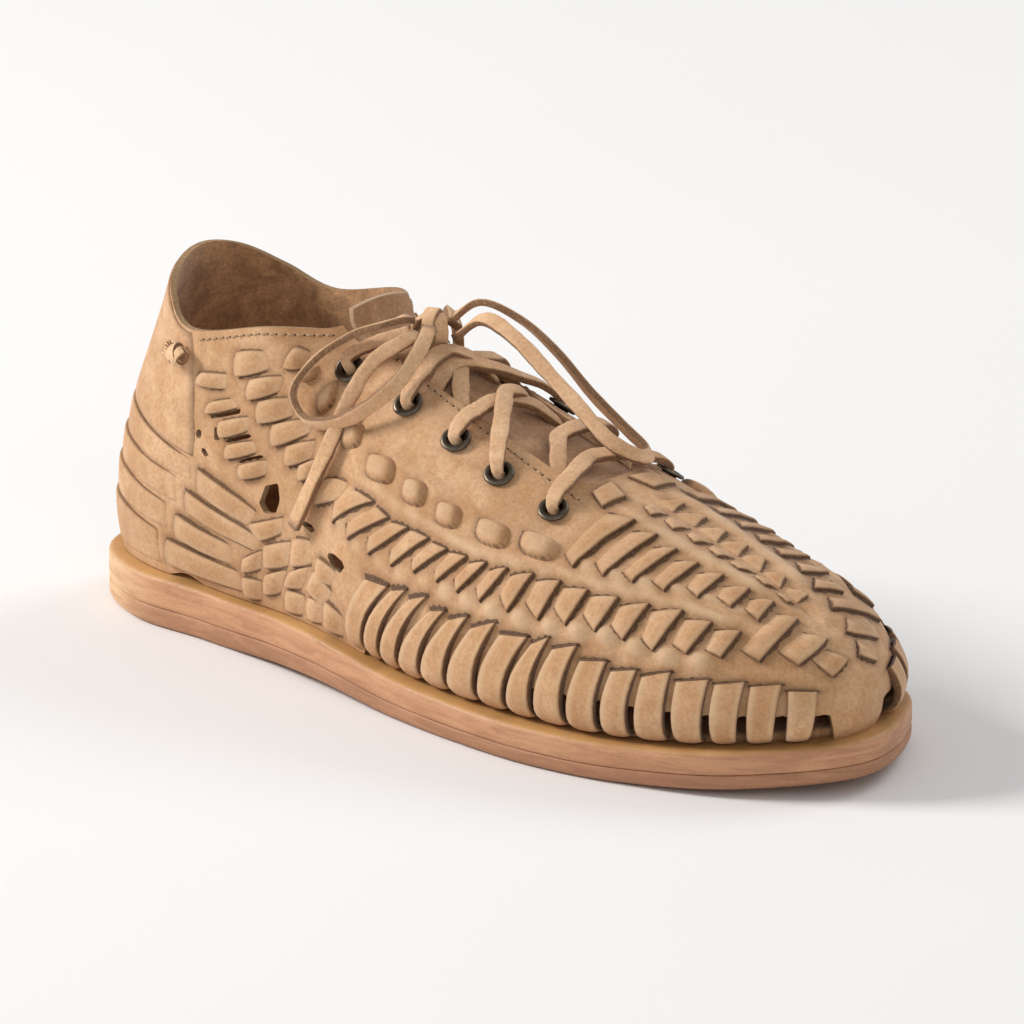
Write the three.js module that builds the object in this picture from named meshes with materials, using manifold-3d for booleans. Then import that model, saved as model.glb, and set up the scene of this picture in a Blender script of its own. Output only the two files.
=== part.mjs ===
// Woven leather lace-up bootie for the right foot, on a low stacked sole.
// Millimetres, +Z up, toe towards +X, outer side of the foot towards -Y.
import * as THREE from 'three';
import { mergeVertices } from 'three/addons/utils/BufferGeometryUtils.js';
import Module from 'manifold-3d';

const wasm = await Module();
wasm.setup();

// Sizes of the whole shoe
const LENGTH = 285;
const CLEARANCE = 0.3;
const WALL = 2;

// Side swell is greatest a third of the way up, where this factor makes it whole.
const SWELL_FULL = 6.75;
const RIDGE_FROM_SECTION = 4.5;

// Sole
const HEEL_THICKNESS = 15.3;
const FOREFOOT_THICKNESS = 11.2;
const TAPER_FROM = 40;
const TAPER_TO = 180;
const HEEL_LIFT = 0.5;
const HEEL_FLAT_FROM = 14;
const HEEL_FLAT_TO = 62;
const FORE_FLAT_FROM = 150;
const FORE_FLAT_TO = 215;
const ARCH_HEIGHT = 1.6;
const TOE_SPRING = 4.4;
const OUTSOLE_SHARE = 0.4;
const BOTTOM_ROUND = 2.2;
const EDGE_ROUND = 0.9;
const INSOLE_THICKNESS = 2.5;

// Straps of the weave
const STRAP_ROOT = -0.9;
const STRAP_RISE = 1.4;
const COUNTER_RISE = 0.9;
const BAND_RISE = 1.3;
const GAP_DEPTH = 5;
const GAPS_FROM = 5;

// Throat, eyelets and laces
const THROAT_HALF = 12.5;
const THROAT_BACK_X = 84;
const THROAT_FRONT_X = 188;
const THROAT_FLOOR_Z = 58;
const THROAT_TOP_Z = 125;
const THROAT_CORNER_X = 5;
const THROAT_CORNER_Y = 6;
const EYELET_HOLE = 2.7;
const EYELET_BARREL = 2.35;
const EYELET_BORE = 1.75;
const EYELET_FLANGE = 4.4;
const EYELET_FLANGE_SEAT = 0.6;
const EYELET_FLANGE_RISE = 1.35;
const EYELET_ROUND = 0.5;
const EYELET_SIDES = 8;
const EYELET_HOLE_DEPTH = 14;
const LACE_WIDTH = 4.4;
const LACE_THICKNESS = 2;
const KNOT_CENTRE = new THREE.Vector3(118, 0, 98.5);
const KNOT_HALF = new THREE.Vector3(6.2, 5, 4.6);
const TONGUE_THICKNESS = 1.8;

function table(columns, rows) {
  return rows.map((row) => Object.fromEntries(columns.map((name, i) => [name, row[i]])));
}

// Cross sections of the last from the heel back to the toe tip.
// Foot columns give the feather line above the sole, top columns the collar or the ridge.
const SECTIONS = table(
  ['footX', 'footLateral', 'footMedial', 'topX', 'topHalf', 'topZ', 'dome', 'bulge'],
  [
    [4, 0, 0, 26, 0, 106, 0.1, 5],
    [11, 18.5, 18, 29, 13, 103.5, 0.1, 4.5],
    [32, 28, 27, 37, 23.5, 97, 0.1, 4],
    [58, 30, 27.5, 51, 29.5, 90.8, 0.15, 3.5],
    [84, 32, 26.5, 78, 28, 96.5, 0.3, 3.5],
    [104, 35, 28, 93, 16, 96.8, 0.6, 4],
    [122, 38, 31, 101, 0, 98.5, 0.85, 4],
    [146, 42, 36, 125, 0, 90, 1, 4],
    [172, 45, 42, 150, 0, 81, 1, 4],
    [200, 45, 45.5, 182, 0, 71, 1, 4],
    [228, 40, 44.5, 215, 0, 61.5, 1, 4],
    [258, 26, 36, 245, 0, 52, 1, 4],
    [279, 0, 0, 260, 0, 45, 1, 4],
  ],
);
const TOE = SECTIONS.length - 1;
const RING = 2 * TOE;
const THROAT_SECTION = 6;

// Half widths of the sole's edge at stations from the heel back to the toe tip.
const SOLE = table(
  ['x', 'lateral', 'medial'],
  [
    [0, 0, 0],
    [7, 20.7, 20.5],
    [30, 33, 32.5],
    [58, 34, 33],
    [84, 36.5, 32],
    [104, 40, 33.5],
    [122, 43, 36.5],
    [146, 47, 41.5],
    [172, 50, 47.5],
    [201, 50.5, 51],
    [231, 44.5, 49.3],
    [263, 30, 40.5],
    [LENGTH, 0, 0],
  ],
);

function smooth(from, to, x) {
  const t = Math.min(1, Math.max(0, (x - from) / (to - from)));
  return t * t * (3 - 2 * t);
}

function mix(a, b, t) {
  return a + (b - a) * t;
}

// Height of the sole's underside along the foot, with a flat heel and a flat forefoot.
function soleBottom(x) {
  const heel = HEEL_LIFT * (1 - smooth(0, HEEL_FLAT_FROM, x));
  const archAt = Math.min(1, Math.max(0, (x - HEEL_FLAT_TO) / (FORE_FLAT_FROM - HEEL_FLAT_TO)));
  const arch = ARCH_HEIGHT * Math.sin(Math.PI * archAt) ** 2;
  const toeAt = Math.max(0, (x - FORE_FLAT_TO) / (LENGTH - FORE_FLAT_TO));
  return heel + arch + TOE_SPRING * toeAt ** 1.8;
}

function soleThickness(x) {
  return mix(HEEL_THICKNESS, FOREFOOT_THICKNESS, smooth(TAPER_FROM, TAPER_TO, x));
}

function soleTop(x) {
  return soleBottom(x) + soleThickness(x);
}

// A closed ring runs from the heel along the lateral side to the toe and back along the medial side.
function ringRow(rows, index, pick) {
  const k = ((index % RING) + RING) % RING;
  return k <= TOE ? pick(rows[k], -1) : pick(rows[RING - k], 1);
}

function ringValue(rows, r, pick) {
  const i = Math.floor(r);
  const f = r - i;
  const [a, b, c, d] = [-1, 0, 1, 2].map((step) => ringRow(rows, i + step, pick));
  const square = 2 * a - 5 * b + 4 * c - d;
  const cube = 3 * b - a - 3 * c + d;
  return b + 0.5 * f * (c - a + f * (square + f * cube));
}

function planOf(rows, r, pickX, pickY) {
  const step = 0.01;
  const x = ringValue(rows, r, pickX);
  const y = ringValue(rows, r, pickY);
  const tx = ringValue(rows, r + step, pickX) - ringValue(rows, r - step, pickX);
  const ty = ringValue(rows, r + step, pickY) - ringValue(rows, r - step, pickY);
  const size = Math.hypot(tx, ty);
  return { x, y, nx: ty / size, ny: -tx / size };
}

function soleEdge(r) {
  return planOf(SOLE, r, (row) => row.x, (row, side) => (side < 0 ? -row.lateral : row.medial));
}

function footEdge(r) {
  const footY = (row, side) => (side < 0 ? -row.footLateral : row.footMedial);
  return planOf(SECTIONS, r, (row) => row.footX, footY);
}

// Distance along the foot in sections, the same on both sides.
function sectionAt(r) {
  const k = ((r % RING) + RING) % RING;
  return Math.min(k, RING - k);
}

// Point of the last at ring position r, height share v and depth outside the leather's face.
function skin(r, v, depth) {
  const foot = footEdge(r);
  const along = sectionAt(r);
  const topX = ringValue(SECTIONS, r, (row) => row.topX);
  const topY = along >= THROAT_SECTION ? 0 : ringValue(SECTIONS, r, (row, side) => side * row.topHalf);
  const topZ = ringValue(SECTIONS, r, (row) => row.topZ);
  const dome = ringValue(SECTIONS, r, (row) => row.dome);
  const bulge = ringValue(SECTIONS, r, (row) => row.bulge);
  const angle = (v * Math.PI) / 2;
  const inward = mix(v, 1 - Math.cos(angle), dome);
  const upward = mix(v, Math.sin(angle), dome);
  const swell = SWELL_FULL * bulge * v * (1 - v) ** 2;
  const ridge = smooth(RIDGE_FROM_SECTION, THROAT_SECTION, along);
  const sideways = swell + depth * (1 - ridge * Math.max(0, inward));
  const base = soleTop(foot.x) + CLEARANCE;
  const x = mix(foot.x, topX, inward) + foot.nx * sideways;
  const y = mix(foot.y, topY, inward) + foot.ny * sideways;
  const z = mix(base, topZ, upward) + depth * ridge * upward;
  return new THREE.Vector3(x, y, z);
}

// Frame on the leather: a point, the way out of it and the way along the foot.
function skinFrame(r, v) {
  const step = 0.02;
  const alongFoot = skin(r + step, v, 0).sub(skin(r - step, v, 0)).normalize();
  const upWall = skin(r, v + step, 0).sub(skin(r, v - step, 0)).normalize();
  const out = new THREE.Vector3().crossVectors(alongFoot, upWall).normalize();
  return { point: skin(r, v, 0), out, alongFoot };
}

// Solid from points and triangles; points that coincide become one.
function solid(points, triangles) {
  const geometry = new THREE.BufferGeometry();
  const flat = triangles.flatMap((corner) => corner.flatMap((i) => points[i].toArray()));
  geometry.setAttribute('position', new THREE.Float32BufferAttribute(flat, 3));
  return solidOf(geometry);
}

function solidOf(geometry) {
  const bare = geometry.index ? geometry.toNonIndexed() : geometry.clone();
  bare.deleteAttribute('normal');
  bare.deleteAttribute('uv');
  const merged = mergeVertices(bare, 1e-3);
  const index = merged.index.array;
  const triVerts = [];
  for (let i = 0; i < index.length; i += 3) {
    const corner = [index[i], index[i + 1], index[i + 2]];
    if (new Set(corner).size === 3) {
      triVerts.push(...corner);
    }
  }
  const vertProperties = merged.attributes.position.array;
  return new wasm.Manifold(
    new wasm.Mesh({ numProp: 3, vertProperties, triVerts: new Uint32Array(triVerts) }),
  );
}

// Body through closed rings of equal length, lowest first, capped from side to side.
function ringBody(rings) {
  const n = rings[0].length;
  const points = rings.flat();
  const triangles = [];
  for (let level = 0; level + 1 < rings.length; level += 1) {
    for (let i = 0; i < n; i += 1) {
      const a = level * n + i;
      const b = level * n + ((i + 1) % n);
      triangles.push([a, b, b + n], [a, b + n, a + n]);
    }
  }
  const last = (rings.length - 1) * n;
  for (let i = 0; i < n / 2; i += 1) {
    const far = (n - i) % n;
    const farNext = n - i - 1;
    triangles.push([i, farNext, i + 1], [i, far, farNext]);
    triangles.push([last + i, last + i + 1, last + farNext], [last + i, last + farNext, last + far]);
  }
  return solid(points, triangles);
}

// Ring positions: close together round the heel and the toe, wider along the sides.
const HALF_RING = [
  ...Array.from({ length: 5 }, (_, i) => i * 0.4),
  ...Array.from({ length: 18 }, (_, i) => 2 + i * 0.5),
  ...Array.from({ length: 3 }, (_, i) => 11 + i / 3),
];
const RING_POSITIONS = [...HALF_RING, TOE, ...HALF_RING.slice(1).reverse().map((r) => RING - r)];

function ring(pointAt) {
  return RING_POSITIONS.map(pointAt);
}

// Body between two facing grids of points, lower and upper, with the same rows and columns.
function sheetBody(lower, upper) {
  const rows = lower.length;
  const columns = lower[0].length;
  const points = [...lower.flat(), ...upper.flat()];
  const shift = rows * columns;
  const at = (row, column) => row * columns + column;
  const triangles = [];
  for (let i = 0; i + 1 < rows; i += 1) {
    for (let j = 0; j + 1 < columns; j += 1) {
      const [a, b, c, d] = [at(i, j), at(i, j + 1), at(i + 1, j + 1), at(i + 1, j)];
      triangles.push([a, c, b], [a, d, c]);
      triangles.push([a + shift, b + shift, c + shift], [a + shift, c + shift, d + shift]);
    }
  }
  const edge = [];
  for (let j = 0; j + 1 < columns; j += 1) {
    edge.push([at(0, j), at(0, j + 1)], [at(rows - 1, j + 1), at(rows - 1, j)]);
  }
  for (let i = 0; i + 1 < rows; i += 1) {
    edge.push([at(i + 1, 0), at(i, 0)], [at(i, columns - 1), at(i + 1, columns - 1)]);
  }
  edge.forEach(([a, b]) => triangles.push([a, b, b + shift], [a, b + shift, a + shift]));
  return solid(points, triangles);
}

// Patch of leather over four corners given as ring position and height share.
// Corners run from rear low, front low, front high to rear high.
function patch(corners, across, along, low, high) {
  const [rearLow, frontLow, frontHigh, rearHigh] = corners;
  const grid = (depth) =>
    Array.from({ length: along + 1 }, (_, i) =>
      Array.from({ length: across + 1 }, (_, j) => {
        const s = j / across;
        const t = i / along;
        const r = mix(mix(rearLow[0], frontLow[0], s), mix(rearHigh[0], frontHigh[0], s), t);
        const v = mix(mix(rearLow[1], frontLow[1], s), mix(rearHigh[1], frontHigh[1], s), t);
        return skin(r, v, depth);
      }),
    );
  return sheetBody(grid(low), grid(high));
}

function mirrored(corners) {
  const [rearLow, frontLow, frontHigh, rearHigh] = corners.map(([r, v]) => [RING - r, v]);
  return [frontLow, rearLow, rearHigh, frontHigh];
}

function bothSides(corners, across, along, low, high) {
  return [
    patch(corners, across, along, low, high),
    patch(mirrored(corners), across, along, low, high),
  ];
}

function union(solids) {
  return wasm.Manifold.union(solids);
}

// Tall straps of the first row, given by the lines between them from the waist to the toe.
const TALL_STRAPS = table(
  ['lowR', 'highR', 'rearV', 'frontV'],
  [
    [6.02, 6.47, 0.19, 0.205],
    [6.36, 6.95, 0.2, 0.222],
    [6.66, 7.27, 0.203, 0.236],
    [6.99, 7.62, 0.204, 0.225],
    [7.39, 7.9, 0.205, 0.24],
    [7.83, 8.23, 0.212, 0.262],
    [8.28, 8.61, 0.233, 0.26],
    [8.67, 9, 0.243, 0.285],
    [9.03, 9.25, 0.253, 0.295],
    [9.43, 9.57, 0.25, 0.276],
    [9.81, 9.89, 0.246, 0.276],
    [10.13, 10.18, 0.254, 0.3],
    [10.46, 10.47, 0.266, 0.302],
    [10.76, 10.78, 0.284, 0.316],
    [11.04, 11.07, 0.295, 0.326],
    [11.32, 11.36, 0.294, 0.302],
    [11.58, 11.62, 0.3, 0.3],
  ],
);
const TALL_LOW_V = 0.015;
const TALL_GAP_R = 0.03;

function tallCorners(k) {
  const rear = TALL_STRAPS[k];
  const front = TALL_STRAPS[k + 1];
  return [
    [rear.lowR + TALL_GAP_R, TALL_LOW_V],
    [front.lowR - TALL_GAP_R, TALL_LOW_V],
    [front.highR - TALL_GAP_R, rear.frontV],
    [rear.highR + TALL_GAP_R, rear.rearV],
  ];
}

// Open gaps between the tall straps, wider and higher towards the toe.
const GAP_LOW_V = -0.03;
const GAP_SHARE_REAR = 0.45;
const GAP_SHARE_FRONT = 0.62;
const GAP_HALF_REAR = 0.019;
const GAP_HALF_FRONT = 0.032;
const GAP_TAPER = 0.6;

function gapCorners(k) {
  const line = TALL_STRAPS[k];
  const t = k / (TALL_STRAPS.length - 1);
  const share = mix(GAP_SHARE_REAR, GAP_SHARE_FRONT, t);
  const half = mix(GAP_HALF_REAR, GAP_HALF_FRONT, t);
  const highR = mix(line.lowR, line.highR, share);
  const highV = line.rearV * share;
  return [
    [line.lowR - half, GAP_LOW_V],
    [line.lowR + half, GAP_LOW_V],
    [highR + half * GAP_TAPER, highV],
    [highR - half * GAP_TAPER, highV],
  ];
}

// Second row of pointed pieces: some of them by number, the others lie between these.
const SECOND_ROW = table(
  ['number', 'rearR', 'rearV', 'pointR', 'pointV', 'topR', 'topV'],
  [
    [2, 5.75, 0.33, 5.79, 0.28, 6.6, 0.384],
    [3, 6.1, 0.295, 6.15, 0.252, 6.88, 0.373],
    [5, 6.92, 0.295, 6.97, 0.26, 7.55, 0.386],
    [7, 7.67, 0.315, 7.73, 0.285, 8.11, 0.395],
    [9, 8.26, 0.33, 8.35, 0.298, 8.63, 0.428],
    [11, 8.88, 0.36, 9.07, 0.325, 9.22, 0.475],
    [13, 9.52, 0.405, 9.7, 0.365, 9.83, 0.51],
    [15, 10.13, 0.4, 10.27, 0.365, 10.42, 0.555],
    [17, 10.68, 0.43, 10.82, 0.405, 10.95, 0.56],
  ],
);
const SECOND_FIRST = 2;
const SECOND_LAST = 17;
const SECOND_START = [6.2, 0.378];
const SECOND_LAP_R = 0.025;
const SECOND_LAP_V_REAR = 0.002;
const SECOND_LAP_V_FRONT = 0.03;

function secondPiece(number) {
  const after = Math.max(1, SECOND_ROW.findIndex((row) => row.number >= number));
  const [a, b] = [SECOND_ROW[after - 1], SECOND_ROW[after]];
  const t = (number - a.number) / (b.number - a.number);
  return Object.fromEntries(Object.keys(a).map((key) => [key, mix(a[key], b[key], t)]));
}

function secondCorners(number) {
  const { rearR, rearV, pointR, pointV, topR, topV } = secondPiece(number);
  const before = secondPiece(number - 1);
  const t = (number - SECOND_FIRST) / (SECOND_LAST - SECOND_FIRST);
  const lapV = mix(SECOND_LAP_V_REAR, SECOND_LAP_V_FRONT, t);
  const lap = [before.topR + SECOND_LAP_R, before.topV - lapV];
  return [
    [rearR, rearV],
    [pointR, pointV],
    [topR, topV],
    number === SECOND_FIRST ? SECOND_START : lap,
  ];
}

// Other pieces are given by four corners: rear low, front low, front high and rear high.
const CORNERS = ['aR', 'aV', 'bR', 'bV', 'cR', 'cV', 'dR', 'dV'];

function fourCorners(row) {
  return [
    [row.aR, row.aV],
    [row.bR, row.bV],
    [row.cR, row.cV],
    [row.dR, row.dV],
  ];
}

// Third row, over the top of the toe.
const THIRD_ROW = table(CORNERS, [
  [9.15, 0.565, 9.3, 0.53, 9.645, 0.825, 9.37, 0.8],
  [9.48, 0.585, 9.62, 0.555, 9.9, 0.82, 9.66, 0.778],
  [9.77, 0.6, 9.9, 0.575, 10.13, 0.81, 9.92, 0.757],
  [10.06, 0.62, 10.2, 0.6, 10.36, 0.806, 10.15, 0.752],
  [10.36, 0.66, 10.5, 0.635, 10.62, 0.812, 10.39, 0.757],
  [10.64, 0.68, 10.8, 0.652, 10.91, 0.812, 10.65, 0.757],
  [10.92, 0.68, 11.08, 0.642, 11.21, 0.816, 10.93, 0.755],
  [10.97, 0.47, 11.15, 0.425, 11.51, 0.765, 11.25, 0.745],
  [11.29, 0.515, 11.47, 0.45, 11.82, 0.665, 11.54, 0.68],
  [11.58, 0.5, 11.74, 0.395, 11.93, 0.5, 11.76, 0.585],
]);

// Scales and weave loops of the rear quarter.
const SCALES = table(CORNERS, [
  [3.62, 0.79, 4.17, 0.8, 4.07, 0.89, 3.65, 0.905],
  [3.8, 0.687, 4.35, 0.71, 4.38, 0.78, 3.84, 0.785],
  [3.97, 0.597, 4.66, 0.607, 4.52, 0.69, 3.98, 0.692],
  [4.25, 0.51, 5.05, 0.545, 4.97, 0.6, 4.23, 0.6],
  [4.57, 0.44, 5.12, 0.457, 5.22, 0.52, 4.55, 0.515],
  [4.88, 0.39, 5.35, 0.41, 5.35, 0.46, 4.86, 0.45],
  [5.27, 0.322, 5.82, 0.336, 6.1, 0.395, 5.33, 0.393],
  [4.34, 0.8, 4.78, 0.79, 4.78, 0.87, 4.52, 0.905],
  [3.06, 0.775, 3.54, 0.745, 3.56, 0.81, 3.18, 0.828],
  [3.42, 0.562, 3.88, 0.578, 3.88, 0.635, 3.42, 0.632],
  [3.74, 0.41, 4.2, 0.425, 4.2, 0.478, 3.72, 0.473],
]);

// Long pointed straps from the heel down to the waist.
const LONG_STRAPS = table(CORNERS, [
  [3.08, 0.365, 3.82, 0.255, 4.02, 0.3, 3.1, 0.455],
  [2.83, 0.275, 3.92, 0.175, 4.07, 0.215, 2.86, 0.365],
  [2.6, 0.16, 3.52, 0.11, 3.52, 0.185, 2.65, 0.262],
  [2.35, 0.045, 3.62, 0.028, 3.62, 0.095, 2.42, 0.147],
]);

// Openings of the quarter.
const OPENINGS = table(CORNERS, [
  [4.06, 0.305, 4.4, 0.303, 4.45, 0.395, 4.08, 0.39],
  [4.95, 0.275, 5.25, 0.255, 5.28, 0.268, 4.97, 0.29],
  [5.6, 0.2, 5.95, 0.17, 6.12, 0.206, 5.54, 0.222],
  [3.28, 0.637, 3.72, 0.649, 3.72, 0.668, 3.28, 0.652],
]);

// Puffed square loops in a line under the eyelets.
const PUFFS = table(
  ['r', 'v', 'halfR', 'halfV'],
  [
    [4.86, 0.765, 0.12, 0.03],
    [5.27, 0.65, 0.17, 0.045],
    [6, 0.512, 0.19, 0.036],
    [6.6, 0.47, 0.22, 0.037],
    [7.2, 0.47, 0.17, 0.036],
    [7.75, 0.472, 0.16, 0.036],
    [8.34, 0.498, 0.19, 0.04],
    [8.87, 0.54, 0.2, 0.042],
  ],
);

function puffCorners({ r, v, halfR, halfV }) {
  return [
    [r - halfR, v - halfV],
    [r + halfR, v - halfV],
    [r + halfR, v + halfV],
    [r - halfR, v + halfV],
  ];
}

// Bands that wrap the lower heel, given by their height at the back.
const HEEL_BANDS = table(
  ['endR', 'backV', 'endV', 'halfV'],
  [
    [2.3, 0.1, 0.095, 0.05],
    [2.5, 0.22, 0.22, 0.05],
    [2.75, 0.34, 0.33, 0.05],
    [2.95, 0.46, 0.44, 0.05],
  ],
);

// The plain counter and its bands wrap round the back from one side to the other.
function wrapped(rear, front, levels, low, high) {
  const steps = 8;
  const grid = (depth) =>
    levels.map((levelAt) =>
      Array.from({ length: steps + 1 }, (_, i) => {
        const r = mix(rear, front, i / steps);
        return skin(r, levelAt(Math.abs(r)), depth);
      }),
    );
  return sheetBody(grid(low), grid(high));
}

function bandBody(row) {
  const middle = (r) => mix(row.backV, row.endV, r / row.endR);
  const levels = [(r) => middle(r) - row.halfV, (r) => middle(r) + row.halfV];
  return wrapped(-row.endR, row.endR, levels, STRAP_ROOT, BAND_RISE);
}

const COUNTER_END = 3.05;
const COUNTER_LOW_BACK = 0.545;
const COUNTER_LOW_FRONT = 0.52;
const COUNTER_TOP = 0.985;

function counterBody() {
  const lower = (r) => mix(COUNTER_LOW_BACK, COUNTER_LOW_FRONT, r / COUNTER_END);
  const between = (share) => (r) => mix(lower(r), COUNTER_TOP, share);
  const levels = [between(0), between(1 / 3), between(2 / 3), between(1)];
  return wrapped(-COUNTER_END, COUNTER_END, levels, STRAP_ROOT, COUNTER_RISE);
}

// Eyelets on each side, numbered from the collar to the toe.
const EYELETS = table(
  ['r', 'v', 'seat'],
  [
    [5.65, 0.72, 0.5],
    [6.78, 0.69, 0],
    [7.57, 0.69, 0],
    [8.21, 0.68, 0],
    [8.88, 0.68, 0],
  ],
);

function turned(geometry, r, v, seat) {
  const { point, out } = skinFrame(r, v);
  const turn = new THREE.Quaternion().setFromUnitVectors(new THREE.Vector3(0, 1, 0), out);
  const at = point.addScaledVector(out, seat);
  return geometry.clone().applyQuaternion(turn).translate(at.x, at.y, at.z);
}

const eyeletProfile = [
  [EYELET_BORE, -WALL],
  [EYELET_BARREL, -WALL],
  [EYELET_BARREL, EYELET_FLANGE_SEAT],
  [EYELET_FLANGE, EYELET_FLANGE_SEAT],
  [EYELET_FLANGE - EYELET_ROUND, EYELET_FLANGE_RISE],
  [EYELET_BORE + EYELET_ROUND, EYELET_FLANGE_RISE],
  [EYELET_BORE, -WALL],
].map(([radius, height]) => new THREE.Vector2(radius, height));
const eyeletShape = new THREE.LatheGeometry(eyeletProfile, EYELET_SIDES);
const holeShape = new THREE.CylinderGeometry(EYELET_HOLE, EYELET_HOLE, EYELET_HOLE_DEPTH, EYELET_SIDES);

const OUTER_LEVELS = [0, 0.13, 0.3, 0.5, 0.7, 0.87, 1];

function outerWall() {
  return ringBody(OUTER_LEVELS.map((v) => ring((r) => skin(r, v, 0))));
}

// Space inside the leather, carried on below the sole seat and above the collar.
const SEAT_CUT = 4;
const PLUG_BELOW = 6;
const PLUG_ABOVE = 16;
const PLUG_SHORT_R = 0.3;
const INNER_LEVELS = [0, 0.2, 0.4, 0.6, 0.76, 0.88, 1];

function innerSpace() {
  const below = ring((r) => skin(r, 0, -WALL).add(new THREE.Vector3(0, 0, -SEAT_CUT)));
  const inside = INNER_LEVELS.map((v) => ring((r) => skin(r, v, -WALL)));
  const collarAt = (r) => {
    const end = THROAT_SECTION - PLUG_SHORT_R;
    return r <= RING / 2 ? Math.min(r, end) : Math.max(r, RING - end);
  };
  const plug = [-PLUG_BELOW, PLUG_ABOVE].map((rise) =>
    ring((r) => skin(collarAt(r), 1, -WALL).add(new THREE.Vector3(0, 0, rise))),
  );
  return ringBody([below, ...inside]).add(ringBody(plug));
}

function throatCut() {
  const outline = new THREE.Shape();
  outline.moveTo(THROAT_BACK_X, -THROAT_HALF);
  outline.lineTo(THROAT_FRONT_X - THROAT_CORNER_X, -THROAT_HALF);
  outline.lineTo(THROAT_FRONT_X, -THROAT_HALF + THROAT_CORNER_Y);
  outline.lineTo(THROAT_FRONT_X, THROAT_HALF - THROAT_CORNER_Y);
  outline.lineTo(THROAT_FRONT_X - THROAT_CORNER_X, THROAT_HALF);
  outline.lineTo(THROAT_BACK_X, THROAT_HALF);
  const depth = THROAT_TOP_Z - THROAT_FLOOR_Z;
  const prism = new THREE.ExtrudeGeometry(outline, { depth, bevelEnabled: false });
  return solidOf(prism.translate(0, 0, THROAT_FLOOR_Z));
}

function upperBody() {
  const raised = (corners, across, along) => bothSides(corners, across, along, STRAP_ROOT, STRAP_RISE);
  const cut = (corners) => bothSides(corners, 1, 1, -GAP_DEPTH, GAP_DEPTH);
  const tall = TALL_STRAPS.slice(1).flatMap((_, k) => raised(tallCorners(k), 1, 1));
  const second = Array.from({ length: SECOND_LAST - SECOND_FIRST + 1 }, (_, k) =>
    raised(secondCorners(SECOND_FIRST + k), 1, 1),
  ).flat();
  const third = THIRD_ROW.flatMap((row) => raised(fourCorners(row), 1, 2));
  const scales = SCALES.flatMap((row) => raised(fourCorners(row), 1, 1));
  const longStraps = LONG_STRAPS.flatMap((row) => raised(fourCorners(row), 3, 1));
  const puffs = PUFFS.flatMap((row) => raised(puffCorners(row), 1, 1));
  const bands = HEEL_BANDS.map(bandBody);
  const relief = [tall, second, third, scales, longStraps, puffs, bands, counterBody()].flat();

  const gaps = TALL_STRAPS.flatMap((_, k) => (k < GAPS_FROM ? [] : cut(gapCorners(k))));
  const openings = OPENINGS.flatMap((row) => cut(fourCorners(row)));
  const holes = EYELETS.flatMap(({ r, v }) =>
    [r, RING - r].map((at) => solidOf(turned(holeShape, at, v, 0))),
  );

  const wall = union([outerWall(), ...relief]);
  const open = wall.subtract(innerSpace()).subtract(throatCut());
  return open.subtract(union([...gaps, ...openings, ...holes]));
}

// One layer of the sole through levels of inset and height.
function soleLayer(levels) {
  return ringBody(
    levels.map(({ inset, heightAt }) =>
      ring((r) => {
        const edge = soleEdge(r);
        const x = edge.x - edge.nx * inset;
        return new THREE.Vector3(x, edge.y - edge.ny * inset, heightAt(edge.x));
      }),
    ),
  );
}

function outsoleBody() {
  const seam = (x) => soleBottom(x) + soleThickness(x) * OUTSOLE_SHARE;
  return soleLayer([
    { inset: BOTTOM_ROUND, heightAt: soleBottom },
    { inset: BOTTOM_ROUND * 0.3, heightAt: (x) => soleBottom(x) + BOTTOM_ROUND * 0.35 },
    { inset: 0, heightAt: (x) => soleBottom(x) + BOTTOM_ROUND },
    { inset: EDGE_ROUND * 0.5, heightAt: seam },
  ]);
}

function midsoleBody() {
  const seam = (x) => soleBottom(x) + soleThickness(x) * OUTSOLE_SHARE + CLEARANCE;
  return soleLayer([
    { inset: EDGE_ROUND * 0.5, heightAt: seam },
    { inset: 0, heightAt: (x) => seam(x) + EDGE_ROUND },
    { inset: 0, heightAt: (x) => soleTop(x) - EDGE_ROUND },
    { inset: EDGE_ROUND, heightAt: soleTop },
  ]);
}

function insoleBody() {
  const level = (rise) =>
    ring((r) => {
      const foot = footEdge(r);
      const inset = WALL + CLEARANCE + 0.6;
      return new THREE.Vector3(foot.x - foot.nx * inset, foot.y - foot.ny * inset, soleTop(foot.x) + rise);
    });
  return ringBody([level(CLEARANCE), level(CLEARANCE + INSOLE_THICKNESS)]);
}

// Tongue under the facings, with a free top that stands behind the bow.
const TONGUE_TOP = table(
  ['x', 'z', 'half', 'crown', 'lean'],
  [
    [101.8, 96.6, 11, 1.6, 0.6],
    [99.5, 100.4, 11.6, 1.6, 0.85],
    [98.7, 104, 11, 1.8, 0.95],
  ],
);
const TONGUE_FROM_R = 9.3;
const TONGUE_TO_R = 6.25;
const TONGUE_EDGE_FRONT_V = 0.765;
const TONGUE_EDGE_TOP_V = 0.82;

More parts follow.
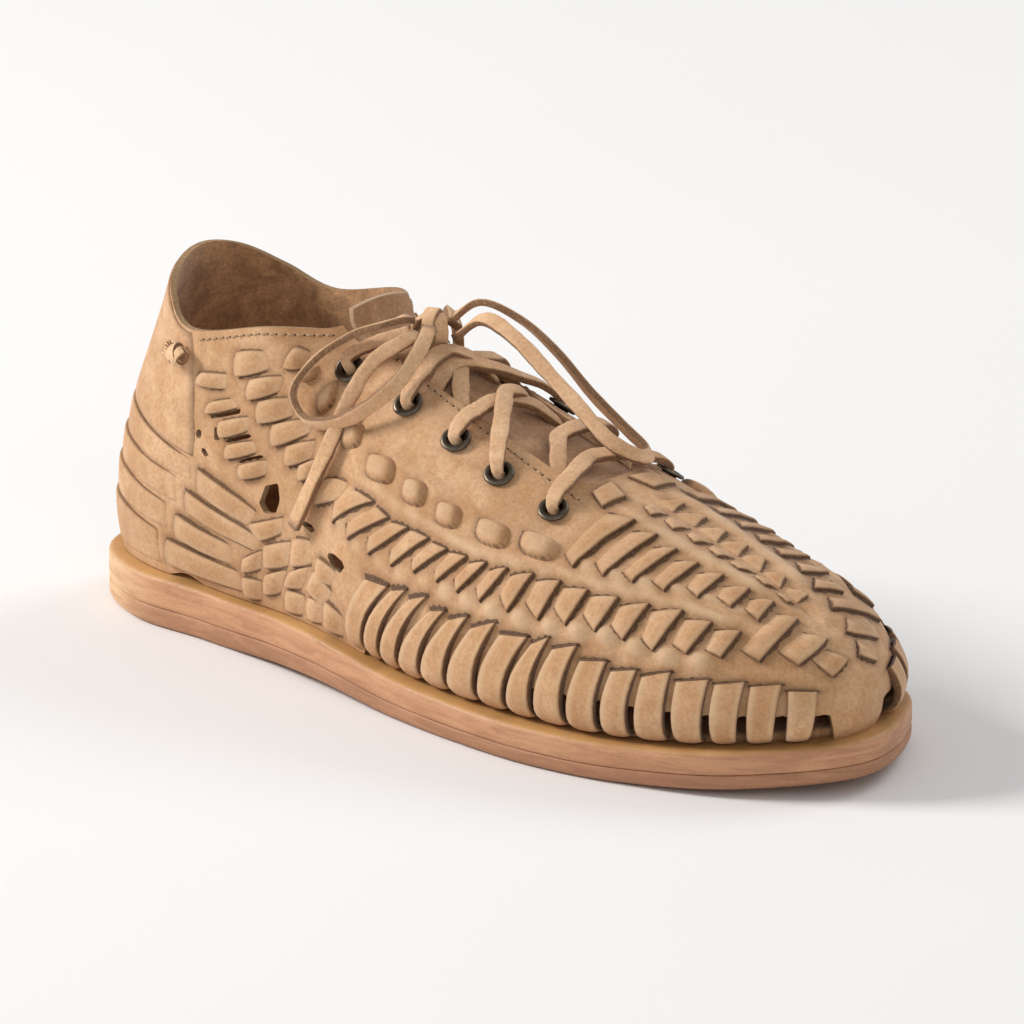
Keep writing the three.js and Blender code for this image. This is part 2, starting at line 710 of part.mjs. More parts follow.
function tongueBody() {
  const across = 8;
  const rows = 8;
  const under = WALL + CLEARANCE + 0.3;
  const grid = (depth) => {
    const low = Array.from({ length: rows + 1 }, (_, i) =>
      Array.from({ length: across + 1 }, (_, j) => {
        const side = (2 * j) / across - 1;
        const r = mix(TONGUE_FROM_R, TONGUE_TO_R, i / rows);
        const edgeV = mix(TONGUE_EDGE_FRONT_V, TONGUE_EDGE_TOP_V, i / rows);
        const v = mix(1, edgeV, Math.abs(side));
        return skin(side < 0 ? r : RING - r, v, -under - depth);
      }),
    );
    const high = TONGUE_TOP.map((row) =>
      Array.from({ length: across + 1 }, (_, j) => {
        const side = (2 * j) / across - 1;
        const drop = row.crown * side * side;
        const x = row.x - depth * row.lean - drop * 0.6;
        return new THREE.Vector3(x, side * row.half, row.z - depth * (1 - row.lean) - drop);
      }),
    );
    return [...low, ...high];
  };
  return sheetBody(grid(TONGUE_THICKNESS), grid(0));
}

// Flat cord along stations that carry a centre and the way out of its broad face.
function ribbon(stations) {
  const half = LACE_WIDTH / 2;
  const points = [];
  stations.forEach(({ point, out }, i) => {
    const before = stations[Math.max(0, i - 1)].point;
    const after = stations[Math.min(stations.length - 1, i + 1)].point;
    const along = after.clone().sub(before).normalize();
    const side = new THREE.Vector3().crossVectors(along, out).normalize();
    const face = new THREE.Vector3().crossVectors(side, along).normalize();
    const corners = [[-1, -1], [1, -1], [1, 1], [-1, 1]];
    corners.forEach(([a, b]) => {
      const lift = face.clone().multiplyScalar((b * LACE_THICKNESS) / 2);
      points.push(point.clone().addScaledVector(side, a * half).add(lift));
    });
  });
  const triangles = [];
  const count = stations.length;
  for (let i = 0; i + 1 < count; i += 1) {
    for (let j = 0; j < 4; j += 1) {
      const a = i * 4 + j;
      const b = i * 4 + ((j + 1) % 4);
      triangles.push([a, b, b + 4], [a, b + 4, a + 4]);
    }
  }
  const end = (count - 1) * 4;
  triangles.push([0, 2, 1], [0, 3, 2], [end, end + 1, end + 2], [end, end + 2, end + 3]);
  const turnedIn = triangles.map(([a, b, c]) => [a, c, b]);
  const body = solid(points, triangles);
  return body.volume() > 0 ? body : solid(points, turnedIn);
}

const FRAME_TOP_V = 0.97;
const LOOP_STEPS = 22;
const END_STEPS = 12;

// Stations of a cord that leaves the knot and lies over the leather.
// Rows give ring position, height share and lift; a loop comes back to a second place on the knot.
function lacePath(leaves, rows, returns, steps) {
  const lying = rows.map(({ r, v, lift }) => {
    const { out } = skinFrame(r, Math.min(FRAME_TOP_V, v));
    return { point: skin(r, v, lift), out };
  });
  const first = { point: knotPoint(leaves), out: lying[0].out };
  const last = returns ? [{ point: knotPoint(returns), out: lying[lying.length - 1].out }] : [];
  const control = [first, ...lying, ...last];
  const centre = new THREE.CatmullRomCurve3(control.map(({ point }) => point), false, 'centripetal');
  return Array.from({ length: steps + 1 }, (_, i) => {
    const at = (i / steps) * (control.length - 1);
    const k = Math.min(control.length - 2, Math.floor(at));
    const out = control[k].out.clone().lerp(control[k + 1].out, at - k).normalize();
    return { point: centre.getPoint(i / steps), out };
  });
}

// Where the cords leave the knot, measured from its centre.
const KNOT_EXITS = {
  loopLateralOut: [-4, -5.2, 3],
  loopLateralBack: [4.2, -5.4, 1.8],
  endLateral: [1.5, -6.9, -0.4],
  loopMedialOut: [5.2, 3.4, 3.4],
  loopMedialBack: [6.4, 3.6, -1.8],
  endMedial: [1.5, 7.2, -0.4],
};

function knotPoint(name) {
  return new THREE.Vector3(...KNOT_EXITS[name]).add(KNOT_CENTRE);
}

const LACE_LIFT = EYELET_FLANGE_RISE + CLEARANCE + LACE_THICKNESS / 2 + 0.6;
const LACE_SEAT = 2.6;
const LACE_RIDGE_LIFT = LACE_THICKNESS / 2 + 1.6;

// Bar from a lateral eyelet over the ridge to a medial eyelet.
function laceBar(from, to) {
  const steps = 6;
  const stations = Array.from({ length: steps + 1 }, (_, i) => {
    const t = i / steps;
    const side = 2 * t - 1;
    const r = mix(from.r, to.r, t);
    const edgeV = mix(from.v, to.v, t);
    const v = mix(1, edgeV, Math.abs(side));
    const seat = LACE_SEAT * (side < 0 ? from.seat : to.seat);
    const lift = mix(LACE_RIDGE_LIFT, LACE_LIFT + seat, Math.abs(side));
    const point = skin(side <= 0 ? r : RING - r, v, lift);
    const out = skinFrame(side <= 0 ? r : RING - r, Math.min(0.97, v)).out;
    return { point, out };
  });
  return ribbon(stations);
}

// Short run from a top eyelet up to the knot; its end is measured from the knot's centre.
const RISE_END = new THREE.Vector3(-5.6, 5.2, -1.4);
const RISE_ARCH = 2.5;

function laceRise(side) {
  const top = EYELETS[0];
  const r = side < 0 ? top.r : RING - top.r;
  const start = skin(r, top.v, LACE_LIFT + LACE_SEAT * top.seat);
  const out = skinFrame(r, top.v).out;
  const end = new THREE.Vector3(RISE_END.x, side * RISE_END.y, RISE_END.z).add(KNOT_CENTRE);
  const middle = start.clone().lerp(end, 0.5).addScaledVector(out, RISE_ARCH);
  const curve = new THREE.QuadraticBezierCurve3(start, middle, end);
  return ribbon(curve.getPoints(5).map((point) => ({ point, out })));
}

function laceCrossings() {
  const bars = [laceBar(EYELETS[4], EYELETS[4])];
  for (let k = 4; k > 0; k -= 1) {
    bars.push(laceBar(EYELETS[k], EYELETS[k - 1]), laceBar(EYELETS[k - 1], EYELETS[k]));
  }
  return union([...bars, laceRise(-1), laceRise(1)]);
}

function knotBody() {
  const ball = new THREE.SphereGeometry(1, 12, 8);
  ball.scale(KNOT_HALF.x, KNOT_HALF.y, KNOT_HALF.z);
  return solidOf(ball.translate(KNOT_CENTRE.x, KNOT_CENTRE.y, KNOT_CENTRE.z));
}

// Bow loops and ends: ring position, height share and lift over the leather.
const LOOP_LATERAL = table(
  ['r', 'v', 'lift'],
  [
    [5.75, 0.95, 12.5],
    [5.1, 0.925, 9.5],
    [4.7, 0.86, 7],
    [4.58, 0.77, 5.5],
    [4.68, 0.67, 4.6],
    [5, 0.6, 5.4],
    [5.5, 0.58, 7.2],
    [6, 0.61, 8],
    [6.4, 0.68, 8.6],
    [6.68, 0.77, 9.2],
  ],
);
const LOOP_MEDIAL = table(
  ['r', 'v', 'lift'],
  [
    [16.65, 0.92, 8.8],
    [16.1, 0.86, 8.2],
    [15.6, 0.81, 7.4],
    [15.25, 0.76, 6.8],
    [15.12, 0.7, 6.5],
    [15.35, 0.65, 6.5],
    [15.95, 0.67, 6.9],
    [16.5, 0.73, 7.6],
    [16.9, 0.82, 8.2],
  ],
);
const END_LATERAL = table(
  ['r', 'v', 'lift'],
  [
    [6.28, 0.79, 8.5],
    [6, 0.69, 7.4],
    [5.68, 0.6, 3.9],
    [5.45, 0.53, 3.2],
    [5.15, 0.42, 3.2],
    [4.8, 0.3, 3.2],
  ],
);
const END_MEDIAL = table(
  ['r', 'v', 'lift'],
  [
    [17.75, 0.79, 8.5],
    [18, 0.69, 7.8],
    [18.35, 0.6, 4.4],
    [18.6, 0.5, 3.4],
    [18.9, 0.4, 3.2],
    [19.15, 0.3, 3.2],
  ],
);

// Small knotted tie where the counter meets the quarter.
const TIE_R = 2.87;
const TIE_V = 0.885;
const TIE_HALF = new THREE.Vector3(4.6, 3.4, 2.6);

function heelTie(r) {
  const { point, out, alongFoot } = skinFrame(r, TIE_V);
  const ball = new THREE.SphereGeometry(1, 10, 6).scale(TIE_HALF.x, TIE_HALF.y, TIE_HALF.z);
  const basis = new THREE.Matrix4();
  const up = new THREE.Vector3().crossVectors(out, alongFoot);
  basis.makeBasis(alongFoot, up, out);
  ball.applyMatrix4(basis);
  const seat = point.addScaledVector(out, COUNTER_RISE + TIE_HALF.z + CLEARANCE);
  return solidOf(ball.translate(seat.x, seat.y, seat.z));
}

// Frame of the part: origin under the middle of the sole.
const soleRing = ring((r) => new THREE.Vector3(soleEdge(r).x, soleEdge(r).y, 0));
const soleBox = new THREE.Box3().setFromPoints(soleRing);
const middle = soleBox.getCenter(new THREE.Vector3());

function mesh(name, body, colour, roughness, metalness) {
  const made = body.getMesh();
  const geometry = new THREE.BufferGeometry();
  geometry.setAttribute('position', new THREE.Float32BufferAttribute(made.vertProperties, 3));
  geometry.setIndex(new THREE.Uint32BufferAttribute(made.triVerts, 1));
  geometry.translate(-middle.x, -middle.y, 0);
  geometry.computeVertexNormals();
  const material = new THREE.MeshStandardMaterial({ color: colour, roughness, metalness });
  const part = new THREE.Mesh(geometry, material);
  part.name = name;
  return part;
}

const LEATHER = 0xc09c74;
const SUEDE = 0x9a744c;
const CORD = 0xb8966e;
const SOLE_LEATHER = 0xb87f4e;
const SOLE_RUBBER = 0x9a6a48;
const METAL = 0x4a4238;

const bootie = new THREE.Group();
bootie.name = 'woven_bootie';
bootie.add(mesh('outsole', outsoleBody(), SOLE_RUBBER, 0.6, 0));
bootie.add(mesh('midsole', midsoleBody(), SOLE_LEATHER, 0.5, 0));
bootie.add(mesh('insole', insoleBody(), SUEDE, 0.8, 0));
bootie.add(mesh('upper', upperBody(), LEATHER, 0.7, 0));
bootie.add(mesh('tongue', tongueBody(), SUEDE, 0.85, 0));
EYELETS.forEach(({ r, v, seat }, k) => {
  const lateral = solidOf(turned(eyeletShape, r, v, seat));
  const medial = solidOf(turned(eyeletShape, RING - r, v, seat));
  bootie.add(mesh(`eyelet_lateral_${k + 1}`, lateral, METAL, 0.4, 1));
  bootie.add(mesh(`eyelet_medial_${k + 1}`, medial, METAL, 0.4, 1));
});
bootie.add(mesh('lace_crossings', laceCrossings(), CORD, 0.75, 0));
bootie.add(mesh('lace_knot', knotBody(), CORD, 0.75, 0));
const loopLateral = lacePath('loopLateralOut', LOOP_LATERAL, 'loopLateralBack', LOOP_STEPS);
const loopMedial = lacePath('loopMedialOut', LOOP_MEDIAL, 'loopMedialBack', LOOP_STEPS);
bootie.add(mesh('lace_loop_lateral', ribbon(loopLateral), CORD, 0.75, 0));
bootie.add(mesh('lace_loop_medial', ribbon(loopMedial), CORD, 0.75, 0));
const endLateral = lacePath('endLateral', END_LATERAL, null, END_STEPS);
const endMedial = lacePath('endMedial', END_MEDIAL, null, END_STEPS);
bootie.add(mesh('lace_end_lateral', ribbon(endLateral), CORD, 0.75, 0));
bootie.add(mesh('lace_end_medial', ribbon(endMedial), CORD, 0.75, 0));
bootie.add(mesh('heel_tie_lateral', heelTie(TIE_R), LEATHER, 0.75, 0));
bootie.add(mesh('heel_tie_medial', heelTie(RING - TIE_R), LEATHER, 0.75, 0));

export default bootie;
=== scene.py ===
import math

import bpy
import numpy as np
from mathutils import Matrix, Vector


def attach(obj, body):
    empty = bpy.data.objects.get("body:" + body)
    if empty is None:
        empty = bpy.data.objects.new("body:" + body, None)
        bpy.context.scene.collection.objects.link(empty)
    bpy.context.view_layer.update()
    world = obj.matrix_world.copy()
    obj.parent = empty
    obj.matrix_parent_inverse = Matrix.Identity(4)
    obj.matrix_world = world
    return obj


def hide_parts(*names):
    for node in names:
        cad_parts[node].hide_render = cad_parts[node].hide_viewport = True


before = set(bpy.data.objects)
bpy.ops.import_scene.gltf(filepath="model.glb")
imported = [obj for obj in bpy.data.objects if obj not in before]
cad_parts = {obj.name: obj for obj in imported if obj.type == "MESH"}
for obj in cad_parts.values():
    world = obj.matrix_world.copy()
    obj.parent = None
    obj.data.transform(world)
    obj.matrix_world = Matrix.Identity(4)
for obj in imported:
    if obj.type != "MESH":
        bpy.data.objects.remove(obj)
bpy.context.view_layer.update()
chance = np.random.default_rng(11)

# Sizes of the shoe in millimetres, measured from the heel and the floor.
LENGTH = 285.0
CLEARANCE = 0.3
WALL = 2.0
THROAT_HALF = 12.5
THROAT_BACK = 84.0
THROAT_FRONT = 188.0
EYELET_HOLE = 2.6
LACE_WIDTH = 4.2
LACE_THICKNESS = 2.0
KNOT_CENTRE = np.array([118.0, 0.0, 98.5])

# Columns: foot x, foot lateral, foot medial, top x, top half, top z, dome, bulge.
SECTIONS = np.array([
    [4, 0, 0, 26, 0, 106, 0.1, 5],
    [11, 18.5, 18, 29, 13, 103.5, 0.1, 4.5],
    [32, 28, 27, 37, 23.5, 97, 0.1, 4],
    [58, 30, 27.5, 51, 29.5, 90.8, 0.15, 3.5],
    [84, 32, 26.5, 78, 28, 96.5, 0.3, 3.5],
    [104, 35, 28, 93, 16, 96.8, 0.6, 4],
    [122, 38, 31, 101, 0, 98.5, 0.85, 4],
    [146, 42, 36, 125, 0, 90, 1, 4],
    [172, 45, 42, 150, 0, 81, 1, 4],
    [200, 45, 45.5, 182, 0, 71, 1, 4],
    [228, 40, 44.5, 215, 0, 61.5, 1, 4],
    [258, 26, 36, 245, 0, 52, 1, 4],
    [279, 0, 0, 260, 0, 45, 1, 4],
], dtype=float)
# Columns: x, lateral, medial.
SOLE = np.array([
    [0, 0, 0],
    [7, 20.7, 20.5],
    [30, 33, 32.5],
    [58, 34, 33],
    [84, 36.5, 32],
    [104, 40, 33.5],
    [122, 43, 36.5],
    [146, 47, 41.5],
    [172, 50, 47.5],
    [201, 50.5, 51],
    [231, 44.5, 49.3],
    [263, 30, 40.5],
    [LENGTH, 0, 0],
], dtype=float)
RING = 24
THROAT_SECTION = 6
HEEL_ROUND = 0.5
ARCH_HEIGHT = 1.6
ARCH_START, ARCH_LENGTH = 62, 88
TOE_SPRING = 4.4
SPRING_START, SPRING_LENGTH = 215, 70
SOLE_AT_HEEL = 15.3
SOLE_AT_TOE = 11.2
BULGE_PEAK = 27 / 4


def smooth(low, high, x):
    t = np.clip((x - low) / (high - low), 0, 1)
    return t * t * (3 - 2 * t)


def mix(a, b, t):
    return a + (b - a) * t


def bell(x, width):
    return np.exp(-((x / width) ** 2))


def sole_bottom(x):
    heel = HEEL_ROUND * (1 - smooth(0, 14, x))
    arch = ARCH_HEIGHT * np.sin(np.pi * np.clip((x - ARCH_START) / ARCH_LENGTH, 0, 1)) ** 2
    return heel + arch + TOE_SPRING * np.clip((x - SPRING_START) / SPRING_LENGTH, 0, None) ** 1.8


def sole_thickness(x):
    return mix(SOLE_AT_HEEL, SOLE_AT_TOE, smooth(40, 180, x))


def sole_top(x):
    return sole_bottom(x) + sole_thickness(x)


def around(lateral, medial):
    return np.concatenate([lateral, medial[-2:0:-1]])


def along_ring(values, r):
    r = np.asarray(r, dtype=float)
    i = np.floor(r).astype(int)
    f = r - i
    a, b, c, d = (values[(i + step) % RING] for step in (-1, 0, 1, 2))
    square = 2 * a - 5 * b + 4 * c - d
    cube = 3 * b - a - 3 * c + d
    return b + 0.5 * f * (c - a + f * (square + f * cube))


def section_at(r):
    k = np.mod(r, RING)
    return np.minimum(k, RING - k)


SOLE_X = around(SOLE[:, 0], SOLE[:, 0])
SOLE_Y = around(-SOLE[:, 1], SOLE[:, 2])
FOOT_X = around(SECTIONS[:, 0], SECTIONS[:, 0])
FOOT_Y = around(-SECTIONS[:, 1], SECTIONS[:, 2])
TOP_X = around(SECTIONS[:, 3], SECTIONS[:, 3])
TOP_Y = around(-SECTIONS[:, 4], SECTIONS[:, 4])
TOP_Z = around(SECTIONS[:, 5], SECTIONS[:, 5])
DOME = around(SECTIONS[:, 6], SECTIONS[:, 6])
BULGE = around(SECTIONS[:, 7], SECTIONS[:, 7])


def plan(ring_x, ring_y, r):
    step = 0.01
    tx = along_ring(ring_x, r + step) - along_ring(ring_x, r - step)
    ty = along_ring(ring_y, r + step) - along_ring(ring_y, r - step)
    size = np.hypot(tx, ty)
    return along_ring(ring_x, r), along_ring(ring_y, r), ty / size, -tx / size


# Point of the last at ring position r, height share v and depth outside the leather.
def skin(r, v, depth=0.0):
    r, v, depth = np.broadcast_arrays(*(np.asarray(a, float) for a in (r, v, depth)))
    foot_x, foot_y, nx, ny = plan(FOOT_X, FOOT_Y, r)
    along = section_at(r)
    top_x = along_ring(TOP_X, r)
    top_y = np.where(along >= THROAT_SECTION, 0.0, along_ring(TOP_Y, r))
    dome = along_ring(DOME, r)
    angle = v * np.pi / 2
    inward = mix(v, 1 - np.cos(angle), dome)
    upward = mix(v, np.sin(angle), dome)
    swell = BULGE_PEAK * along_ring(BULGE, r) * v * (1 - v) ** 2
    ridge = smooth(4.5, THROAT_SECTION, along)
    sideways = swell + depth * (1 - ridge * np.maximum(0, inward))
    base = sole_top(foot_x) + CLEARANCE
    x = mix(foot_x, top_x, inward) + nx * sideways
    y = mix(foot_y, top_y, inward) + ny * sideways
    z = mix(base, along_ring(TOP_Z, r), upward) + depth * ridge * upward
    return np.stack([x, y, z], -1)


def unit(a):
    return a / np.maximum(1e-9, np.linalg.norm(a, axis=-1, keepdims=True))


def skin_out(r, v):
    step = 0.02
    forward = skin(r + step, v) - skin(r - step, v)
    upward = skin(r, v + step) - skin(r, v - step)
    return unit(np.cross(forward, upward))


ring_line = np.linspace(0, RING, 481)
MIDDLE = np.array([
    LENGTH / 2,
    (along_ring(SOLE_Y, ring_line).min() + along_ring(SOLE_Y, ring_line).max()) / 2,
    0,
])


def metres(points):
    return (np.asarray(points, float) - MIDDLE) * 0.001


# Camera at the angle of the picture, aimed at the one shoe.
AZIMUTH = math.radians(42.6)
ELEVATION = math.radians(16.6)
DISTANCE = 2600.0
FOCAL = 2.73 * DISTANCE
CLOSER = 1.3
SENSOR = 36
PICTURE = 1024
HALF_PICTURE = 512
HEEL_PIXEL = (129.06, 659.84)
CENTRE_PIXEL = (412.5, 612)
to_camera = np.array([
    math.sin(AZIMUTH) * math.cos(ELEVATION),
    -math.cos(AZIMUTH) * math.cos(ELEVATION),
    math.sin(ELEVATION),
])
to_right = np.array([math.cos(AZIMUTH), math.sin(AZIMUTH), 0.0])
to_top = np.cross(to_camera, to_right)
shoe_centre = np.array([142.0, 0.0, 45.0])
heel_seen = [(-shoe_centre) @ axis for axis in (to_right, to_top, to_camera)]
heel_depth = DISTANCE - heel_seen[2]
offset_right = (HEEL_PIXEL[0] - HALF_PICTURE) * heel_depth / FOCAL - heel_seen[0]
offset_top = (HALF_PICTURE - HEEL_PIXEL[1]) * heel_depth / FOCAL - heel_seen[1]
eye = shoe_centre - offset_right * to_right - offset_top * to_top + DISTANCE * to_camera
aim = eye - DISTANCE * to_camera
aim = aim + to_right * (CENTRE_PIXEL[0] - HALF_PICTURE) * DISTANCE / FOCAL
aim = aim + to_top * (HALF_PICTURE - CENTRE_PIXEL[1]) * DISTANCE / FOCAL
camera = bpy.data.objects.new("camera", bpy.data.cameras.new("camera"))
bpy.context.scene.collection.objects.link(camera)
camera.data.sensor_width = SENSOR
camera.data.lens = SENSOR * FOCAL * CLOSER / PICTURE
camera.data.clip_end = 50
camera.location = metres(eye)
view_line = Vector(metres(aim)) - Vector(metres(eye))
camera.rotation_euler = view_line.to_track_quat("-Z", "Y").to_euler()
bpy.context.scene.camera = camera


# Materials
class Shader:
    """Nodes of one material, with its noises placed by the piece's own coordinates."""

    def __init__(self, name):
        self.material = bpy.data.materials.new(name)
        self.material.use_nodes = True
        self.tree = self.material.node_tree
        self.tree.nodes.clear()
        self.place = self.node("ShaderNodeTexCoord").outputs["Object"]

    def node(self, kind, values=(), **settings):
        made = self.tree.nodes.new(kind)
        for key, value in settings.items():
            setattr(made, key, value)
        for key, value in dict(values).items():
            socket = made.inputs[key]
            if isinstance(value, bpy.types.NodeSocket):
                self.tree.links.new(value, socket)
            else:
                socket.default_value = (*value, 1) if socket.type == "RGBA" else value
        return made

    def noise(self, scale, detail, rough, warp=0.0, stretch=None):
        place = self.place
        if stretch:
            place = self.node("ShaderNodeMapping", {"Vector": place, "Scale": stretch}).outputs[0]
        return self.node("ShaderNodeTexNoise", {
            "Vector": place, "Scale": scale, "Detail": detail, "Roughness": rough, "Distortion": warp,
        }).outputs[0]

    def ramp(self, value, stops):
        values = dict(enumerate((value, *stops)))
        return self.node("ShaderNodeMapRange", values, interpolation_type="SMOOTHSTEP").outputs[0]

    def mix(self, amount, a, b):
        return self.node("ShaderNodeMix", {0: amount, 6: a, 7: b}, data_type="RGBA").outputs[2]

    def blend(self, value, stops, a, b):
        return self.mix(self.ramp(value, stops), a, b)

    def mark(self, name):
        return self.node("ShaderNodeAttribute", attribute_name=name).outputs[2]

    def math(self, operation, a, b):
        return self.node("ShaderNodeMath", {0: a, 1: b}, operation=operation).outputs[0]

    def total(self, *parts):
        scaled = [self.math("MULTIPLY", value, weight) for value, weight in parts]
        result = scaled[0]
        for value in scaled[1:]:
            result = self.math("ADD", result, value)
        return result

    def finish(self, colour, roughness, height, bump, depth, **fixed):
        surface = self.node("ShaderNodeBump", {"Strength": bump, "Distance": depth, "Height": height})
        values = {"Base Color": colour, "Roughness": roughness, "Normal": surface.outputs[0]}
        values.update({key.replace("_", " "): value for key, value in fixed.items()})
        body = self.node("ShaderNodeBsdfPrincipled", values)
        self.node("ShaderNodeOutputMaterial", {0: body.outputs[0]})
        return self.material


def darker(colour, share):
    return tuple(share * c for c in colour)


LIGHT_TAN = (0.72, 0.44, 0.243)
DARK_TAN = (0.56, 0.315, 0.153)
WARM_TAN = (0.52, 0.262, 0.108)
# Brown of the cut edges; on the slit lines it also stands for painted shadow.
CUT_BROWN = (0.075, 0.033, 0.013)
# Brown of the painted shade beside the slits.
SHADE_BROWN = (0.2, 0.088, 0.034)
NAP_BROWN = (0.21, 0.1, 0.042)
# Pale tan of worn places, also used as painted highlight.
WORN_AND_HIGHLIGHT_TAN = (0.68, 0.47, 0.285)
LACE_TANS = ((0.86, 0.555, 0.325), (0.72, 0.435, 0.238), (0.2, 0.098, 0.043), (0.68, 0.39, 0.195))
SUEDE_EDGE = (0.4, 0.26, 0.145)


# Nubuck leather: soft blotches, fine nap, and dark fibrous cut edges, with painted shade beside the slits
# and pale worn places that also carry painted highlight.
def leather_material(name, light, dark, cut, warm):
    shader = Shader(name)
    clouds = shader.noise(45, 5, 0.6, 0.6)
    blotch = shader.noise(160, 4, 0.6, 0.4)
    nap = shader.noise(950, 5, 0.75)
    grain = shader.noise(3200, 2, 0.6)
    fibre = shader.noise(2600, 3, 0.7, stretch=(1, 1, 0.35))
    body = shader.blend(clouds, (0.34, 0.66, 0, 1), dark, light)
    body = shader.blend(blotch, (0.42, 0.7, 0, 0.6), body, warm)
    body = shader.blend(shader.mark("tone"), (0, 1, 0, 0.5), body, warm)
    # Painted shade beside the slits and cut edges.
    body = shader.mix(shader.mark("shade"), body, SHADE_BROWN)
    body = shader.blend(nap, (0.36, 0.6, 0.28, 0), body, NAP_BROWN)
    # Pale worn edges and raised places, partly painted highlight.
    body = shader.mix(shader.mark("rub"), body, WORN_AND_HIGHLIGHT_TAN)
    edge = shader.blend(fibre, (0.4, 0.75, 0, 0.4), cut, dark)
    # Dark cut edges; on the slit lines this also stands for painted shadow.
    body = shader.mix(shader.mark("edge"), body, edge)
    height = shader.total((nap, 0.9), (grain, 0.5), (blotch, 1.2))
    return shader.finish(
        body, shader.ramp(blotch, (0.3, 0.7, 0.62, 0.78)), height, 0.5, 0.00035,
        Specular_IOR_Level=0.32, Sheen_Weight=0.12, Sheen_Roughness=0.5,
    )


# Suede: mottled brown with a coarse nap.
def suede_material(name, light, dark):
    shader = Shader(name)
    clouds = shader.noise(90, 6, 0.7, 1.2)
    nap = shader.noise(900, 5, 0.75)
    body = shader.blend(clouds, (0.32, 0.68, 0, 1), dark, light)
    body = shader.blend(nap, (0.3, 0.7, 0.5, 0), body, darker(dark, 0.45))
    body = shader.mix(shader.mark("edge"), body, SUEDE_EDGE)
    return shader.finish(
        body, 0.9, shader.total((nap, 1.0), (clouds, 0.8)), 0.6, 0.0005,
        Specular_IOR_Level=0.2, Sheen_Weight=0.25, Sheen_Roughness=0.6,
    )


# Raw cut edge of the upper's wall.
def edge_material():
    shader = Shader("cut_edge")
    fibre = shader.noise(1800, 5, 0.75)
    layers = shader.noise(260, 4, 0.6)
    body = shader.blend(fibre, (0.3, 0.7, 0, 1), (0.22, 0.125, 0.06), (0.47, 0.31, 0.175))
    body = shader.blend(layers, (0.4, 0.7, 0, 0.5), body, (0.3, 0.17, 0.08))
    return shader.finish(body, 0.85, fibre, 0.6, 0.0003, Specular_IOR_Level=0.25)


# Sole layers: streaks that run along the edge, fibres, a polished ledge, and a heel made paler by painted
# light.
def sole_material(name, light, dark, streak, gloss, bump):
    shader = Shader(name)
    bands = shader.noise(420, 5, 0.62, 0.8, stretch=(0.12, 0.12, 1))
    fibre = shader.noise(2600, 4, 0.7, stretch=(0.3, 0.3, 1))
    cloud = shader.noise(40, 4, 0.6, 0.5)
    speck = shader.noise(1100, 3, 0.7)
    body = shader.blend(bands, (0.34, 0.66, 0, 1), dark, light)
    body = shader.blend(cloud, (0.35, 0.7, 0, 0.5), body, streak)
    body = shader.blend(fibre, (0.5, 0.75, 0, 0.35), body, darker(dark, 0.55))
    ledge = shader.blend(cloud, (0.3, 0.7, 0, 1), (0.44, 0.23, 0.08), (0.6, 0.335, 0.13))
    body = shader.mix(shader.mark("ledge"), body, ledge)
    # Paler edge at the heel: painted light where the key light falls.
    heel = shader.blend(bands, (0.34, 0.62, 0, 1), (0.6, 0.34, 0.16), (0.78, 0.52, 0.3))
    body = shader.mix(shader.mark("heel"), body, heel)
    body = shader.blend(speck, (0.62, 0.8, 0, 0.4), body, (0.55, 0.36, 0.22))
    return shader.finish(
        body, shader.ramp(fibre, (0.3, 0.7, gloss, gloss + 0.2)),
        shader.total((fibre, 0.7), (bands, 0.6), (speck, 0.4)), bump, 0.0003, Specular_IOR_Level=0.4,
    )


def metal_material():
    shader = Shader("eyelet_metal")
    tarnish = shader.noise(700, 5, 0.7, 0.5)
    scratch = shader.noise(4200, 3, 0.7, stretch=(1, 0.2, 1))
    body = shader.blend(tarnish, (0.3, 0.72, 0, 1), (0.03, 0.024, 0.018), (0.09, 0.073, 0.055))
    # Paler metal where the rim is rubbed, which also stands for a painted highlight on its crest.
    body = shader.mix(shader.mark("rub"), body, (0.17, 0.14, 0.105))
    roughness = shader.ramp(tarnish, (0.3, 0.7, 0.3, 0.48))
    return shader.finish(body, roughness, scratch, 0.15, 0.0001, Metallic=1.0)


def thread_material():
    shader = Shader("stitch_thread")
    twist = shader.noise(3200, 3, 0.6)
    body = shader.blend(twist, (0.3, 0.7, 0, 1), (0.36, 0.22, 0.115), (0.55, 0.37, 0.215))
    # Near-black for the pricked holes: painted shade.
    body = shader.mix(shader.mark("edge"), body, (0.07, 0.036, 0.018))
    return shader.finish(body, 0.7, twist, 0.4, 0.0001)


def floor_material():
    shader = Shader("floor")
    faint = shader.noise(3, 3, 0.5)
    body = shader.mix(faint, (0.86, 0.855, 0.855), (0.89, 0.887, 0.887))
    return shader.finish(body, 0.75, faint, 0.02, 0.0002, Specular_IOR_Level=0.15)


leather = leather_material("upper_leather", LIGHT_TAN, DARK_TAN, CUT_BROWN, WARM_TAN)
lace_leather = leather_material("lace_leather", *LACE_TANS)
lining = suede_material("lining_suede", (0.8, 0.44, 0.205), (0.42, 0.21, 0.09))
tongue_suede = suede_material("tongue_suede", (0.66, 0.38, 0.195), (0.5, 0.265, 0.125))
cut_edge = edge_material()
sole_leather = sole_material(
    "sole_leather", (0.6, 0.31, 0.165), (0.44, 0.205, 0.105), (0.6, 0.32, 0.17), 0.42, 0.35,
)
sole_rubber = sole_material(
    "sole_rubber", (0.48, 0.24, 0.13), (0.36, 0.17, 0.09), (0.41, 0.2, 0.108), 0.5, 0.2,
)
eyelet_metal = metal_material()
thread = thread_material()

# Meshes
MARKS = ("tone", "edge", "rub", "shade", "ledge", "heel")


